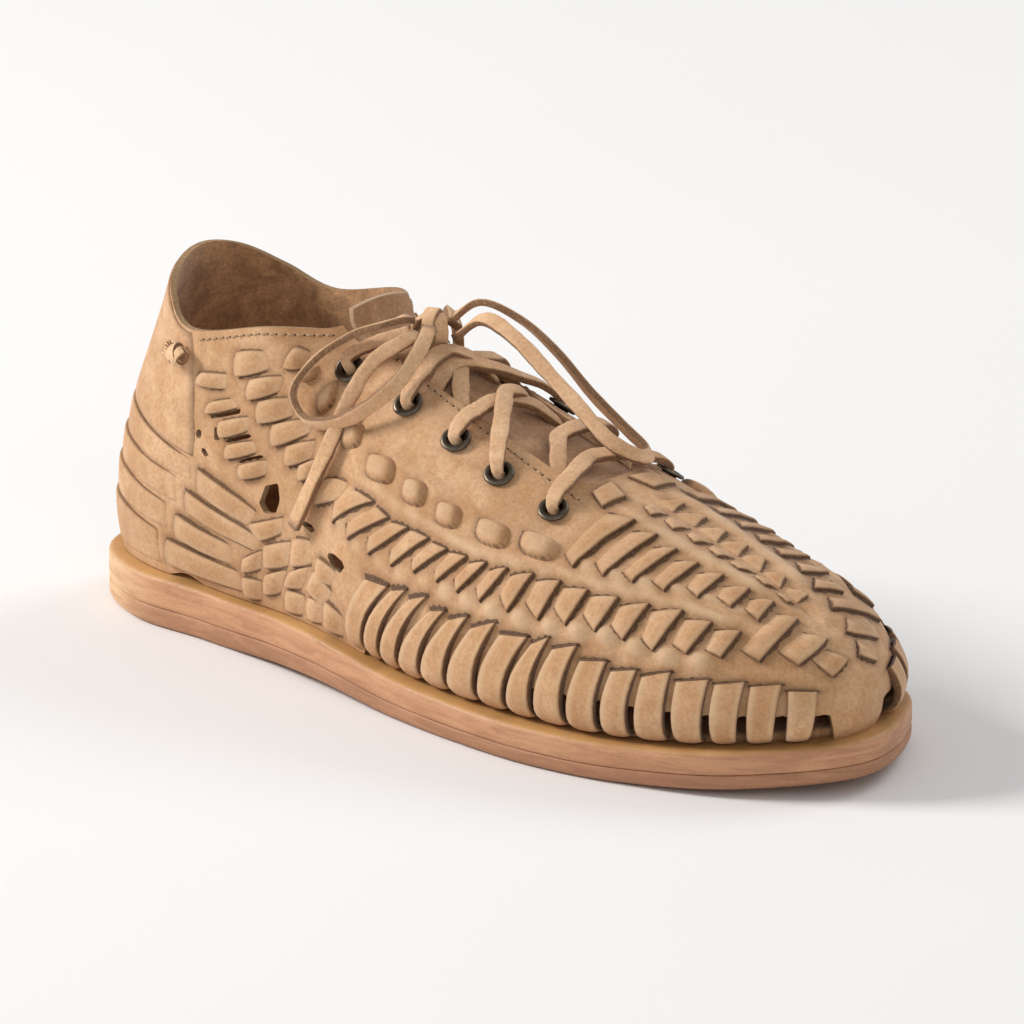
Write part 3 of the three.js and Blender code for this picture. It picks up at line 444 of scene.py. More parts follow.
class Pile:
    """Many small bodies gathered into one mesh, with marks that the materials read."""

    def __init__(self):
        self.points = []
        self.faces = []
        self.slots = []
        self.marks = {key: [] for key in MARKS}
        self.count = 0

    def add(self, points, faces, flip=False, slot_index=0, **marks):
        points = np.asarray(points, float).reshape(-1, 3)
        start = self.count
        for face in faces:
            loop = [start + k for k in face]
            self.faces.append(loop[::-1] if flip else loop)
            self.slots.append(slot_index)
        self.points.append(points)
        self.count += len(points)
        for key in MARKS:
            value = np.asarray(marks.get(key, 0.0), float).reshape(-1)
            self.marks[key].append(np.broadcast_to(value, (len(points),)))

    def cap(self, start, count, flip=False):
        loop = list(range(start, start + count))
        self.faces.append(loop[::-1] if flip else loop)
        self.slots.append(0)

    def add_grid(self, grid, flip=False, ring=False, **marks):
        rows, columns = grid.shape[:2]
        last = columns if ring else columns - 1
        faces = [
            (i * columns + j, i * columns + (j + 1) % columns,
             (i + 1) * columns + (j + 1) % columns, (i + 1) * columns + j)
            for i in range(rows - 1)
            for j in range(last)
        ]
        self.add(grid.reshape(-1, 3), faces, flip, **marks)

    def object(self, name, materials, replaces=()):
        made = bpy.data.meshes.new(name)
        made.from_pydata(metres(np.concatenate(self.points)).tolist(), [], self.faces)
        for key, values in self.marks.items():
            joined = np.concatenate(values)
            if joined.any():
                layer = made.attributes.new(key, "FLOAT", "POINT")
                layer.data.foreach_set("value", joined)
        for material in materials:
            made.materials.append(material)
        made.polygons.foreach_set("use_smooth", [True] * len(made.polygons))
        made.polygons.foreach_set("material_index", self.slots)
        made.update()
        piece = bpy.data.objects.new(name, made)
        bpy.context.scene.collection.objects.link(piece)
        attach(piece, "root")
        if replaces:
            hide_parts(*replaces)
        return piece


def sides(r, side):
    return r if side == 0 else RING - r


# Eyelets on each side, numbered from the collar to the toe: ring position, height share, seat.
EYELETS = [
    (5.65, 0.72, 0.5),
    (6.78, 0.69, 0.0),
    (7.57, 0.69, 0.0),
    (8.21, 0.68, 0.0),
    (8.88, 0.68, 0.0),
]
LACE_BAR_WIDTH = 5.0
KNOT_EXITS = {
    "loop_lateral_out": (-4, -5.2, 3),
    "loop_lateral_back": (4.2, -5.4, 1.8),
    "end_lateral": (1.5, -6.9, -0.4),
    "loop_medial_out": (5.2, 3.4, 3.4),
    "loop_medial_back": (6.4, 3.6, -1.8),
    "end_medial": (1.5, 7.2, -0.4),
}
# Cords over the leather: ring position, height share, lift.
LOOP_LATERAL = [
    (6.38, 0.813, 11), (5.87, 0.751, 9.5), (5.15, 0.775, 8), (4.87, 0.69, 6.5), (5.15, 0.575, 5.2),
    (5.87, 0.518, 5.4), (6.41, 0.58, 6.4), (6.75, 0.692, 7.4), (6.85, 0.81, 8.4),
]
LOOP_MEDIAL = [
    (16.88, 0.92, 18.6), (16.45, 0.88, 19.6), (16.05, 0.85, 16.3), (15.68, 0.82, 10.2),
    (15.34, 0.795, 6.2), (15.0, 0.815, 4.6), (14.86, 0.885, 4.8), (14.98, 0.955, 6.8),
    (15.33, 0.972, 11.8), (15.67, 0.975, 15.5), (16.09, 0.975, 18.9), (16.58, 0.97, 17.8),
]
END_LATERAL = [
    (6.63, 0.82, 8.5), (6.3, 0.707, 7), (5.96, 0.587, 4.4), (5.69, 0.468, 3.6), (5.36, 0.372, 3.4),
    (4.99, 0.272, 3.4),
]
END_MEDIAL = [
    (17.75, 0.79, 8.5), (18, 0.69, 7.8), (18.35, 0.6, 4.4), (18.6, 0.5, 3.4), (18.9, 0.4, 3.2),
    (19.15, 0.3, 3.2),
]


def part_way(t, start, end, a, b):
    return (end - t) / (end - start) * a + (t - start) / (end - start) * b


# Smooth line through points, with the spacing taken into account.
def smooth_line(points, steps):
    points = np.asarray(points, float)
    before = points[0] * 2 - points[1]
    after = points[-1] * 2 - points[-2]
    line = np.vstack([before, points, after])
    result = []
    for k in range(1, len(line) - 2):
        p = line[k - 1:k + 3]
        knots = np.concatenate([[0], np.cumsum(np.linalg.norm(np.diff(p, axis=0), axis=1) ** 0.5)])
        last = k == len(line) - 3
        for t in np.linspace(knots[1], knots[2], steps, endpoint=last):
            a = [part_way(t, knots[i], knots[i + 1], p[i], p[i + 1]) for i in range(3)]
            b = [part_way(t, knots[i], knots[i + 2], a[i], a[i + 1]) for i in range(2)]
            result.append(part_way(t, knots[1], knots[2], b[0], b[1]))
    return np.array(result)


# Cross-section of a cut thong: across, through, darkness of the cut edge.
THONG = np.array([
    (-0.86, 1, 0), (-0.4, 1.03, 0), (0, 1.04, 0), (0.4, 1.03, 0), (0.86, 1, 0),
    (0.97, 0.86, 0.35), (1, 0.5, 1), (1, 0, 1), (1, -0.5, 1), (0.97, -0.86, 0.9),
    (0.86, -1, 0.45), (0, -1.03, 0.4), (-0.86, -1, 0.45),
    (-0.97, -0.86, 0.9), (-1, -0.5, 1), (-1, 0, 1), (-1, 0.5, 1), (-0.97, 0.86, 0.35),
])
THONG_TONE = 0.15
NEAR_RIDGE = 0.97
LINE_STEPS = 6


def thong(pile, line, out, width=LACE_WIDTH, thickness=LACE_THICKNESS, taper=1.0, turn=0.0):
    line = np.asarray(line, float)
    along = unit(np.gradient(line, axis=0))
    side = unit(np.cross(along, out))
    face = unit(np.cross(side, along))
    turn = np.broadcast_to(np.asarray(turn, float), (len(line),))[:, None]
    side, face = side * np.cos(turn) + face * np.sin(turn), face * np.cos(turn) - side * np.sin(turn)
    place = np.arange(len(line))
    wobble = 1 + 0.05 * np.sin(place * 0.83) + 0.03 * np.sin(place * 2.3)
    half = (width / 2 * taper * wobble)[:, None, None]
    grid = (
        line[:, None, :]
        + side[:, None, :] * THONG[None, :, 0, None] * half
        + face[:, None, :] * THONG[None, :, 1, None] * thickness / 2
    )
    edge = np.broadcast_to(THONG[None, :, 2], grid.shape[:2]).copy()
    edge[0] = edge[-1] = 1
    start = pile.count
    pile.add_grid(grid, flip=True, ring=True, edge=edge, tone=THONG_TONE)
    count = len(THONG)
    pile.cap(start, count)
    pile.cap(start + (len(line) - 1) * count, count, flip=True)


# Directions of a line with many points, from those of its few bends.
def spread(outs, count):
    outs = np.array(outs)
    share = np.linspace(0, len(outs) - 1, count)
    return unit(np.stack([np.interp(share, np.arange(len(outs)), outs[:, k]) for k in range(3)], -1))


def lace_route(leaves, rows, returns):
    r, v, lift = np.array(rows, float).T
    points = list(skin(r, v, lift))
    outs = list(skin_out(r, np.minimum(NEAR_RIDGE, v)))
    points.insert(0, KNOT_CENTRE + np.array(KNOT_EXITS[leaves]))
    outs.insert(0, outs[0])
    if returns:
        points.append(KNOT_CENTRE + np.array(KNOT_EXITS[returns]))
        outs.append(outs[-1])
    line = smooth_line(points, LINE_STEPS)
    return line, spread(outs, len(line))


def free_lace(name, leaves, rows, returns, turn):
    line, out = lace_route(leaves, rows, returns)
    pile = Pile()
    share = np.linspace(0, 1, len(line))
    thong(pile, line, out, turn=turn(share))
    piece = pile.object(name + "_thong", [lace_leather], (name,))


QUARTER_TURN = math.pi / 2
free_lace("lace_loop_lateral", "loop_lateral_out", LOOP_LATERAL, "loop_lateral_back",
          lambda s: -QUARTER_TURN * 0.78 * np.sin(np.pi * s) ** 0.5)
free_lace("lace_loop_medial", "loop_medial_out", LOOP_MEDIAL, "loop_medial_back",
          lambda s: QUARTER_TURN * 0.5 * np.sin(np.pi * s) ** 0.5)
free_lace("lace_end_lateral", "end_lateral", END_LATERAL, None,
          lambda s: 0.75 * np.sin(np.pi * np.minimum(1, s * 1.2)))
free_lace("lace_end_medial", "end_medial", END_MEDIAL, None, lambda s: -0.4 * np.sin(np.pi * s))

# Route of a thong over the throat: share of the way, lift, shares of seat and height.
LACE_BAR_ROUTE = [
    (0.1, 3.2, 0.5, 0), (0.2, 2.4, 0, 0.4), (0.34, 1.9, 0, 1), (0.5, 1.2, 0, 1), (0.62, 0.9, 0, 0.5),
    (0.7, -1.0, 0, 0), (0.77, -2.9, 0, 0),
]
LACE_UNDER = -2.6
LACE_OVER_RIM = 1.7
# Half of the front thong, from its eyelet to the ridge: distance from the ridge, lift.
FRONT_BAR_ROUTE = [(1, LACE_UNDER), (0.99, 1.6), (0.86, 3.1), (0.66, 2.7), (0.34, 2.3), (0, 1.9)]
# Shares of a thong's width where an eyelet pinches it.
IN_EYELET = 0.56
AT_EYELET = 0.68


# Lacing: each thong comes up out of an eyelet, crosses the throat and goes under the other facing.
def along_route(pile, places, shares, tapers):
    points = [skin(sides(r, side), v, lift) for r, v, lift, side in places]
    outs = [skin_out(sides(r, side), min(NEAR_RIDGE, v)) for r, v, lift, side in places]
    line = smooth_line(points, LINE_STEPS)
    taper = np.interp(np.linspace(0, 1, len(line)), shares, tapers)
    thong(pile, line, spread(outs, len(line)), width=LACE_BAR_WIDTH, taper=taper)


def eyelet_at(number):
    return [np.interp(number, range(len(EYELETS)), column) for column in np.array(EYELETS).T]


def lace_bar(pile, start, finish, from_side, over):
    r0, v0, seat = eyelet_at(start)
    r1, v1, _ = eyelet_at(finish)
    places = [(r0, v0, LACE_UNDER, from_side), (r0, v0, LACE_OVER_RIM + seat, from_side)]
    for t, lift, seat_share, over_share in LACE_BAR_ROUTE:
        across = 2 * t - 1
        side = from_side if across <= 0 else 1 - from_side
        height = lift + seat * seat_share + over * over_share
        places.append((mix(r0, r1, t), mix(1, mix(v0, v1, t), abs(across)), height, side))
    along_route(pile, places, [0, 0.12, 0.28, 1], [IN_EYELET, AT_EYELET, 1, 1])


def front_bar(pile):
    r0, v0, _ = EYELETS[4]
    half = [(r0 + 0.05 * (1 - across ** 2), mix(1, v0, across), lift) for across, lift in FRONT_BAR_ROUTE]
    places = [(*place, 0) for place in half] + [(*place, 1) for place in half[-2::-1]]
    tapers = [IN_EYELET, AT_EYELET, 1, 1, AT_EYELET, IN_EYELET]
    along_route(pile, places, [0, 0.1, 0.24, 0.76, 0.9, 1], tapers)


# The last thong on each side, from the first eyelet up to the knot.
RISE_UNDER = -2.4
RISE_END = np.array([-4.6, 3.6, -1.4])
RISE_STEPS = 8


def lace_rise(pile, side):
    r0, v0, _ = EYELETS[0]
    r = sides(r0, side)
    out = skin_out(r, v0)
    end = KNOT_CENTRE + RISE_END * (1, -1 if side == 0 else 1, 1)
    start = skin(r, v0, RISE_UNDER)
    second = skin(r, v0 + 0.02, 3.4)
    middle = mix(skin(r, v0, 5), end, 0.5) + out * 1.6
    line = smooth_line([start, second, middle, end], RISE_STEPS)
    taper = np.interp(np.linspace(0, 1, len(line)), [0, 0.3, 1], [0.62, 0.9, 1])
    thong(pile, line, np.broadcast_to(out, line.shape), taper=taper)


# Thongs between the eyelets, which are numbered from 0: start, finish, side, height over the others.
LACE_BARS = [(3, 2, 0, 2.4), (2, 3, 0, 0.2), (1, 1.6, 0, 2.2), (1, 2, 1, 0), (2, 1, 1, 0.6), (3, 4, 1, 0)]
lacing = Pile()
front_bar(lacing)
for start, finish, from_side, over in LACE_BARS:
    lace_bar(lacing, start, finish, from_side, over)
lace_rise(lacing, 0)
lace_rise(lacing, 1)
lacing.object("lacing", [lace_leather], ("lace_crossings",))

KNOT_WIDTH = 4.0
KNOT_THICKNESS = 1.9
# Knot of the bow, one wrap over two that cross: shift, half width, half height, place, lean.
KNOT_WRAPS = [
    (0.0, 3.6, 5.0, (0.25, 0.1, 0.0), 0.35),
    (1.2, 4.3, 4.4, (-1.8, -0.5, -1.2), -0.75),
    (-1.4, 3.9, 4.2, (2.4, 0.9, -0.8), 1.05),
]


def knot(pile):
    angles = np.linspace(0, 2 * np.pi, 33)
    for shift, wide, tall, place, lean in KNOT_WRAPS:
        ring = np.stack([0 * angles, wide * np.cos(angles), tall * np.sin(angles)], -1)
        turn = np.array(Matrix.Rotation(lean, 3, "Z") @ Matrix.Rotation(0.35 * lean, 3, "X"))
        ring = ring @ turn.T + KNOT_CENTRE + np.array(place) + np.array([shift, 0, 0])
        centre = ring[:-1].mean(axis=0)
        thong(pile, ring, unit(ring - centre), width=KNOT_WIDTH, thickness=KNOT_THICKNESS)


bow_knot = Pile()
knot(bow_knot)
bow_knot.object("bow_knot", [lace_leather], ("lace_knot",))

# Tall straps of the first row, by the lines between them: bottom r, top r, rear v, front v.
TALL_STRAPS = [
    (6.02, 6.47, 0.19, 0.205), (6.36, 6.95, 0.2, 0.222), (6.66, 7.27, 0.203, 0.236),
    (6.99, 7.62, 0.204, 0.225), (7.39, 7.9, 0.205, 0.24), (7.83, 8.23, 0.212, 0.262),
    (8.28, 8.61, 0.233, 0.26), (8.67, 9.0, 0.243, 0.285), (9.03, 9.25, 0.253, 0.295),
    (9.43, 9.57, 0.25, 0.276), (9.81, 9.89, 0.246, 0.276), (10.13, 10.18, 0.254, 0.3),
    (10.46, 10.47, 0.266, 0.302), (10.76, 10.78, 0.284, 0.316), (11.04, 11.07, 0.295, 0.326),
    (11.32, 11.36, 0.294, 0.302), (11.58, 11.62, 0.3, 0.3),
]
# Second row, some of its pieces: number, rear corner r and v, point r and v, top corner r and v.
SECOND_ROW = np.array([
    (2, 5.75, 0.33, 5.79, 0.28, 6.60, 0.384), (3, 6.10, 0.295, 6.15, 0.252, 6.88, 0.373),
    (5, 6.92, 0.295, 6.97, 0.26, 7.55, 0.386), (7, 7.67, 0.315, 7.73, 0.285, 8.11, 0.395),
    (9, 8.26, 0.33, 8.35, 0.298, 8.63, 0.428), (11, 8.88, 0.36, 9.07, 0.325, 9.22, 0.475),
    (13, 9.52, 0.405, 9.70, 0.365, 9.83, 0.51), (15, 10.13, 0.4, 10.27, 0.365, 10.42, 0.555),
    (17, 10.68, 0.43, 10.82, 0.405, 10.95, 0.56),
])
# Other pieces by their corners: rear low, front low, front high, rear high, each r and v.
THIRD_ROW = [
    (9.15, 0.565, 9.3, 0.53, 9.645, 0.825, 9.37, 0.8),
    (9.48, 0.585, 9.62, 0.555, 9.9, 0.82, 9.66, 0.778),
    (9.77, 0.6, 9.9, 0.575, 10.13, 0.81, 9.92, 0.757),
    (10.06, 0.62, 10.2, 0.6, 10.36, 0.806, 10.15, 0.752),
    (10.36, 0.66, 10.5, 0.635, 10.62, 0.812, 10.39, 0.757),
    (10.64, 0.68, 10.8, 0.652, 10.91, 0.812, 10.65, 0.757),
    (10.92, 0.68, 11.08, 0.642, 11.21, 0.816, 10.93, 0.755),
    (10.97, 0.47, 11.15, 0.425, 11.51, 0.765, 11.25, 0.745),
    (11.29, 0.515, 11.47, 0.45, 11.82, 0.665, 11.54, 0.68),
    (11.58, 0.5, 11.74, 0.395, 11.93, 0.5, 11.76, 0.585),
]
FOURTH_ROW = [
    (9.6, 0.93, 9.72, 0.9, 9.81, 0.985, 9.62, 0.985),
    (9.84, 0.93, 9.97, 0.9, 10.07, 0.985, 9.83, 0.985),
    (10.1, 0.93, 10.22, 0.9, 10.33, 0.985, 10.09, 0.985),
    (10.33, 0.93, 10.46, 0.9, 10.57, 0.985, 10.34, 0.985),
    (10.57, 0.93, 10.7, 0.905, 10.86, 0.985, 10.59, 0.985),
    (10.86, 0.94, 11.03, 0.91, 11.19, 0.985, 10.88, 0.985),
    (11.2, 0.93, 11.36, 0.88, 11.5, 0.98, 11.24, 0.98),
]
SCALES = [
    (3.62, 0.79, 4.17, 0.8, 4.07, 0.89, 3.65, 0.905), (3.8, 0.687, 4.35, 0.71, 4.38, 0.78, 3.84, 0.785),
    (3.97, 0.597, 4.66, 0.607, 4.52, 0.69, 3.98, 0.692), (4.25, 0.51, 5.05, 0.545, 4.97, 0.6, 4.23, 0.6),
    (4.57, 0.44, 5.12, 0.457, 5.22, 0.52, 4.55, 0.515), (4.88, 0.39, 5.35, 0.41, 5.35, 0.46, 4.86, 0.45),
    (5.27, 0.322, 5.82, 0.336, 6.1, 0.395, 5.33, 0.393), (4.34, 0.8, 4.78, 0.79, 4.78, 0.87, 4.52, 0.905),
    (3.06, 0.775, 3.54, 0.745, 3.56, 0.81, 3.18, 0.828), (3.2, 0.655, 3.72, 0.672, 3.6, 0.715, 3.3, 0.71),
    (3.42, 0.562, 3.88, 0.578, 3.88, 0.635, 3.42, 0.632), (3.5, 0.487, 4.02, 0.5, 3.95, 0.547, 3.53, 0.54),
    (3.74, 0.41, 4.2, 0.425, 4.2, 0.478, 3.72, 0.473),
]
LONG_STRAPS = [
    (3.08, 0.365, 3.82, 0.255, 4.02, 0.3, 3.1, 0.455), (2.83, 0.275, 3.92, 0.175, 4.07, 0.215, 2.86, 0.365),
    (2.6, 0.16, 3.52, 0.11, 3.52, 0.185, 2.65, 0.262), (2.35, 0.045, 3.62, 0.028, 3.62, 0.095, 2.42, 0.147),
]
BRAID = [
    (4.02, 0.212, 4.52, 0.245, 4.6, 0.3, 3.82, 0.27), (3.64, 0.1, 4.0, 0.12, 4.05, 0.19, 3.7, 0.155),
    (4.07, 0.125, 4.62, 0.15, 4.74, 0.23, 4.1, 0.205), (4.68, 0.15, 5.26, 0.175, 5.2, 0.235, 4.8, 0.24),
    (3.97, 0.04, 4.35, 0.065, 4.6, 0.14, 4.06, 0.115), (4.47, 0.085, 4.9, 0.095, 5.18, 0.165, 4.66, 0.14),
    (5.02, 0.1, 5.4, 0.065, 5.74, 0.115, 5.3, 0.165), (3.62, 0.015, 3.9, 0.015, 3.97, 0.085, 3.63, 0.09),
    (4.4, 0.015, 4.83, 0.015, 4.98, 0.085, 4.52, 0.08), (4.95, 0.015, 5.33, 0.015, 5.48, 0.075, 5.06, 0.09),
    (5.43, 0.012, 5.9, 0.012, 5.94, 0.065, 5.52, 0.095), (5.3, 0.13, 5.72, 0.125, 5.86, 0.17, 5.4, 0.195),
]
# Puffed squares under the eyelets: r, v, half r, half v.
PUFFS = [
    (4.86, 0.765, 0.12, 0.03), (5.27, 0.65, 0.18, 0.048), (6.0, 0.512, 0.19, 0.036),
    (6.6, 0.47, 0.22, 0.037), (7.2, 0.47, 0.17, 0.036), (7.75, 0.472, 0.16, 0.036),
    (8.34, 0.498, 0.19, 0.04), (8.87, 0.54, 0.2, 0.042),
]
# Bands of the heel: end r, low v, high v at the back and at the front.
HEEL_BANDS = [
    (2.3, 0.03, 0.195, 0.03, 0.155), (2.5, 0.195, 0.31, 0.175, 0.27),
    (2.72, 0.31, 0.408, 0.29, 0.39), (3.02, 0.408, 0.517, 0.395, 0.475),
]
COUNTER_END = 3.06
# Pad sewn on at the front of the throat.
THROAT_PAD = [(9.14, 0.83, 9.3, 0.8, 9.42, 0.92, 9.22, 0.955)]
# Openings in the leather by their corners, each r and v.
OPENINGS = [
    (4.02, 0.335, 4.12, 0.303, 4.36, 0.302, 4.46, 0.345, 4.42, 0.398, 4.15, 0.392),
    (4.93, 0.29, 4.98, 0.272, 5.22, 0.254, 5.3, 0.262, 5.2, 0.277),
    (5.52, 0.222, 5.72, 0.178, 5.95, 0.168, 6.13, 0.206, 5.8, 0.208),
    (3.28, 0.637, 3.72, 0.649, 3.72, 0.668, 3.28, 0.652),
    (3.33, 0.555, 3.42, 0.552, 3.41, 0.604, 3.34, 0.607),
    (3.5, 0.545, 3.9, 0.556, 3.9, 0.574, 3.5, 0.56), (3.7, 0.47, 4.1, 0.476, 4.1, 0.495, 3.7, 0.484),
    (3.04, 0.565, 3.13, 0.555, 3.14, 0.585, 3.06, 0.603),
    (3.13, 0.517, 3.22, 0.487, 3.26, 0.497, 3.17, 0.535),
]


FIRST_PIECE, LAST_PIECE = 2, 17


def second_row(number):
    return [np.interp(number, SECOND_ROW[:, 0], SECOND_ROW[:, k]) for k in range(1, 7)]


def row_share(number):
    return (number - FIRST_PIECE) / (LAST_PIECE - FIRST_PIECE)


CUT_START, CUT_LENGTH = 6.1, 5.5
CUT_LOW, CUT_HIGH = 0.02, 0.165
HEEL_GAP_AT = 2.65


# Lower edge of the leather behind the tall straps, where it is cut away between them.
def cut_line(along):
    t = np.clip((along - CUT_START) / CUT_LENGTH, 0, 1)
    level = mix(CUT_LOW, CUT_HIGH, t ** 0.75)
    inside = smooth(6.0, 6.4, along) * (1 - smooth(11.7, 11.78, along))
    ragged = 0.006 * np.sin(along * 61) + 0.004 * np.sin(along * 143 + 1)
    heel_gap = 0.03 * bell(along - HEEL_GAP_AT, 0.25) - 0.008
    return np.maximum(mix(-0.2, level + ragged, inside), heel_gap)


# Creases and soft swellings: r, v, reach in r, reach in v, height.
CREASES = [
    (5.9, 0.62, 0.9, 0.03, -0.5), (6.4, 0.555, 1.0, 0.02, -0.45), (9.08, 0.62, 0.3, 0.06, -0.6),
    (4.3, 0.95, 0.5, 0.02, 0.3), (10.9, 0.86, 0.5, 0.04, 0.45), (11.75, 0.3, 0.3, 0.08, 0.45),
    (11.85, 0.15, 0.25, 0.04, -0.4), (8.0, 0.6, 0.9, 0.04, 0.35), (3.2, 0.62, 0.2, 0.12, -0.4),
    (7.0, 0.52, 1.6, 0.012, 0.4), (7.3, 0.42, 1.5, 0.014, 0.5), (1.2, 0.75, 0.5, 0.06, -0.35),
]


WAVE_HEIGHT = 0.2


# Soft relief of the leather: puffed lobes between the rows, the creases and a slight wave.
def relief(r, v):
    along = section_at(r)
    rise = np.zeros(np.broadcast(along, v).shape)
    for number in range(FIRST_PIECE, LAST_PIECE):
        t = row_share(number)
        _, rear_v, point_r, _, top_r, top_v = second_row(number)
        next_r = second_row(number + 1)[2]
        lobe = bell(along - (point_r + next_r) / 2 + 0.02, (next_r - point_r) * 0.36)
        rise += mix(0.9, 2.3, smooth(0.1, 0.7, t)) * lobe * bell(v - rear_v + 0.042, mix(0.022, 0.036, t))
        rise += mix(0.7, 1.2, t) * bell(along - top_r - 0.06, 0.15) * bell(v - top_v - 0.03, 0.024)
    for k in range(1, 7):
        rear_r, rear_v = THIRD_ROW[k][:2]
        rise += 1.2 * bell(along - rear_r + 0.05, 0.13) * bell(v - rear_v + 0.02, 0.03)
        rise += 1.1 * bell(along - THIRD_ROW[k][6], 0.14) * bell(v - 0.85, 0.04)
    for centre_r, centre_v, wide_r, wide_v, height in CREASES:
        rise += height * bell(along - centre_r, wide_r) * bell(v - centre_v, wide_v)
    wave = np.sin(along * 5.1 + v * 17) * np.sin(v * 23 - along * 2.3)
    return rise + WAVE_HEIGHT * wave * smooth(0, 0.2, v) * (1 - smooth(0.85, 1, v))


# Millimetres on the leather for one step of the ring position and of the height share.
PER_R = 24.0
PER_V = 88.0


# Distance outside a convex outline, in millimetres on the leather.
def outside(along, v, outline):
    corners = np.array(outline).reshape(-1, 2) * (PER_R, PER_V)
    distance = np.full(np.broadcast(along, v).shape, -1e9)
    for a, b in zip(corners, np.roll(corners, -1, axis=0)):
        edge = b - a
        normal = np.array([edge[1], -edge[0]]) / np.hypot(*edge)
        distance = np.maximum(distance, (along * PER_R - a[0]) * normal[0] + (v * PER_V - a[1]) * normal[1])
    return distance


# Slits and cut edges, with painted shade on the leather beside them: two ends and a strength.
slits = []
SLIT_SHADE = 0.6
SLIT_REACH = 1.7


# Painted shade on the leather near each slit, fading with distance.
def slit_shade(along, v):
    shade = np.zeros(np.broadcast(along, v).shape)
    x, y = along * PER_R, v * PER_V
    for (r0, v0), (r1, v1), strength in slits:
        a = np.array([r0 * PER_R, v0 * PER_V])
        edge = np.array([r1 * PER_R, v1 * PER_V]) - a
        t = np.clip(((x - a[0]) * edge[0] + (y - a[1]) * edge[1]) / max(1e-6, edge @ edge), 0, 1)
        distance = np.hypot(x - a[0] - t * edge[0], y - a[1] - t * edge[1])
        shade = np.maximum(shade, SLIT_SHADE * strength * bell(distance, SLIT_REACH))
    return shade


# Cross-section of a raised strap: place across, share of its height, darkness of the cut edge.
STRAP_PROFILE = np.array([
    (-1, 0, 1), (-1, 0.5, 1), (-1, 0.76, 1), (-0.985, 0.88, 0.7), (-0.94, 0.96, 0.2), (-0.8, 1, 0),
    (-0.4, 1.01, 0), (0, 1.015, 0), (0.4, 1.01, 0),
    (0.8, 1, 0), (0.94, 0.96, 0.2), (0.985, 0.88, 0.7), (1, 0.76, 1), (1, 0.5, 1), (1, 0, 1),
])
STRAP_STEPS = np.array([0, 0.03, 0.08, 0.15, 0.25, 0.38, 0.52, 0.66, 0.8, 0.9, 0.96, 1.0])


# Height of a tall strap along it, from the seam up to its slit.
LOOP_SHARES = [0, 0.03, 0.08, 0.15, 0.3, 0.5, 0.75, 0.9, 1]
LOOP_HEIGHTS = [-0.9, 0.5, 1.6, 2.4, 3.0, 2.9, 2.2, 1.7, 1.4]
STRAP_THICKNESS = 2.3


def jitter(amount):
    return float(chance.uniform(-amount, amount))


# Pale line just inside a piece's cut edge, where it is rubbed, which also serves as painted highlight.
def rubbed_line(near, place, width, edge):
    return np.clip(1 - np.abs(near - place) / width, 0, 1) * (edge < 0.4)


# Tall straps that loop out of the sole's seam and into slits in the leather.
def tall_straps(pile):
    u = STRAP_PROFILE[:, 0]
    for side in (0, 1):
        for k in range(len(TALL_STRAPS) - 1):
            t = k / (len(TALL_STRAPS) - 2)
            rear_low, rear_high, rear_v, front_v = TALL_STRAPS[k]
            front_low, front_high = TALL_STRAPS[k + 1][:2]
            gap_low, gap_high = mix(0.025, 0.045, t), mix(0.03, 0.022, t)
            sway = jitter(0.012)
            bow = mix(0.8, 1.15, t) + jitter(0.08)
            # Dark strip past the top end: the slit's cut edge and painted shadow.
            edge_and_shadow_lip = 0.8 / (90 * rear_v)
            steps = np.concatenate([[0], STRAP_STEPS, [1.004, 1 + edge_and_shadow_lip, 1 + edge_and_shadow_lip]])
            across, along = np.meshgrid(u, steps)
            w = np.minimum(along, 1 + edge_and_shadow_lip)
            share = (across + 1) / 2
            bend = 0.07 * (1 - t) * np.sin(np.pi * np.clip(w, 0, 1))
            rear = mix(rear_low + gap_low, rear_high + gap_high, w) - bend + sway * np.sin(np.pi * w)
            front = mix(front_low - gap_low, front_high - gap_high, w) - bend + sway * np.sin(np.pi * w)
            low_v = 0.004 + 0.014 * np.abs(across) ** 4
            r, v = mix(rear, front, share), mix(low_v, mix(rear_v, front_v, share), w)
            top = bow * np.interp(np.clip(along, 0, 1), LOOP_SHARES, LOOP_HEIGHTS)
            low = np.maximum(top - STRAP_THICKNESS, -WALL - 1.4)
            depth = mix(low, top, STRAP_PROFILE[None, :, 1])
            depth[0] = low[0]
            depth[-2] = mix(low[-2], top[-2], 0.8)
            depth[-1] = -1.2
            edge = np.broadcast_to(STRAP_PROFILE[None, :, 2], depth.shape) * 0.85
            edge[0] = 1
            edge[-3:] = 1
            # Pale worn lines along the strap's sides, stronger on the rear side where the key light falls:
            # wear and painted highlight.
            rub = rubbed_line(np.abs(across), 0.84, 0.16, edge) * mix(0.9, 0.5, share)
            grid = skin(sides(r, side), v, depth)
            tone = chance.uniform(0.2, 0.75)
            pile.add_grid(grid, flip=side == 1, ring=True, tone=tone, edge=edge, rub=rub)
            if side == 0:
                slits.append(((rear_high, rear_v + 0.008), (front_high, front_v + 0.008), 0.95))


SLIT_FROM = 0.25
TILE_ROOT = -1.0


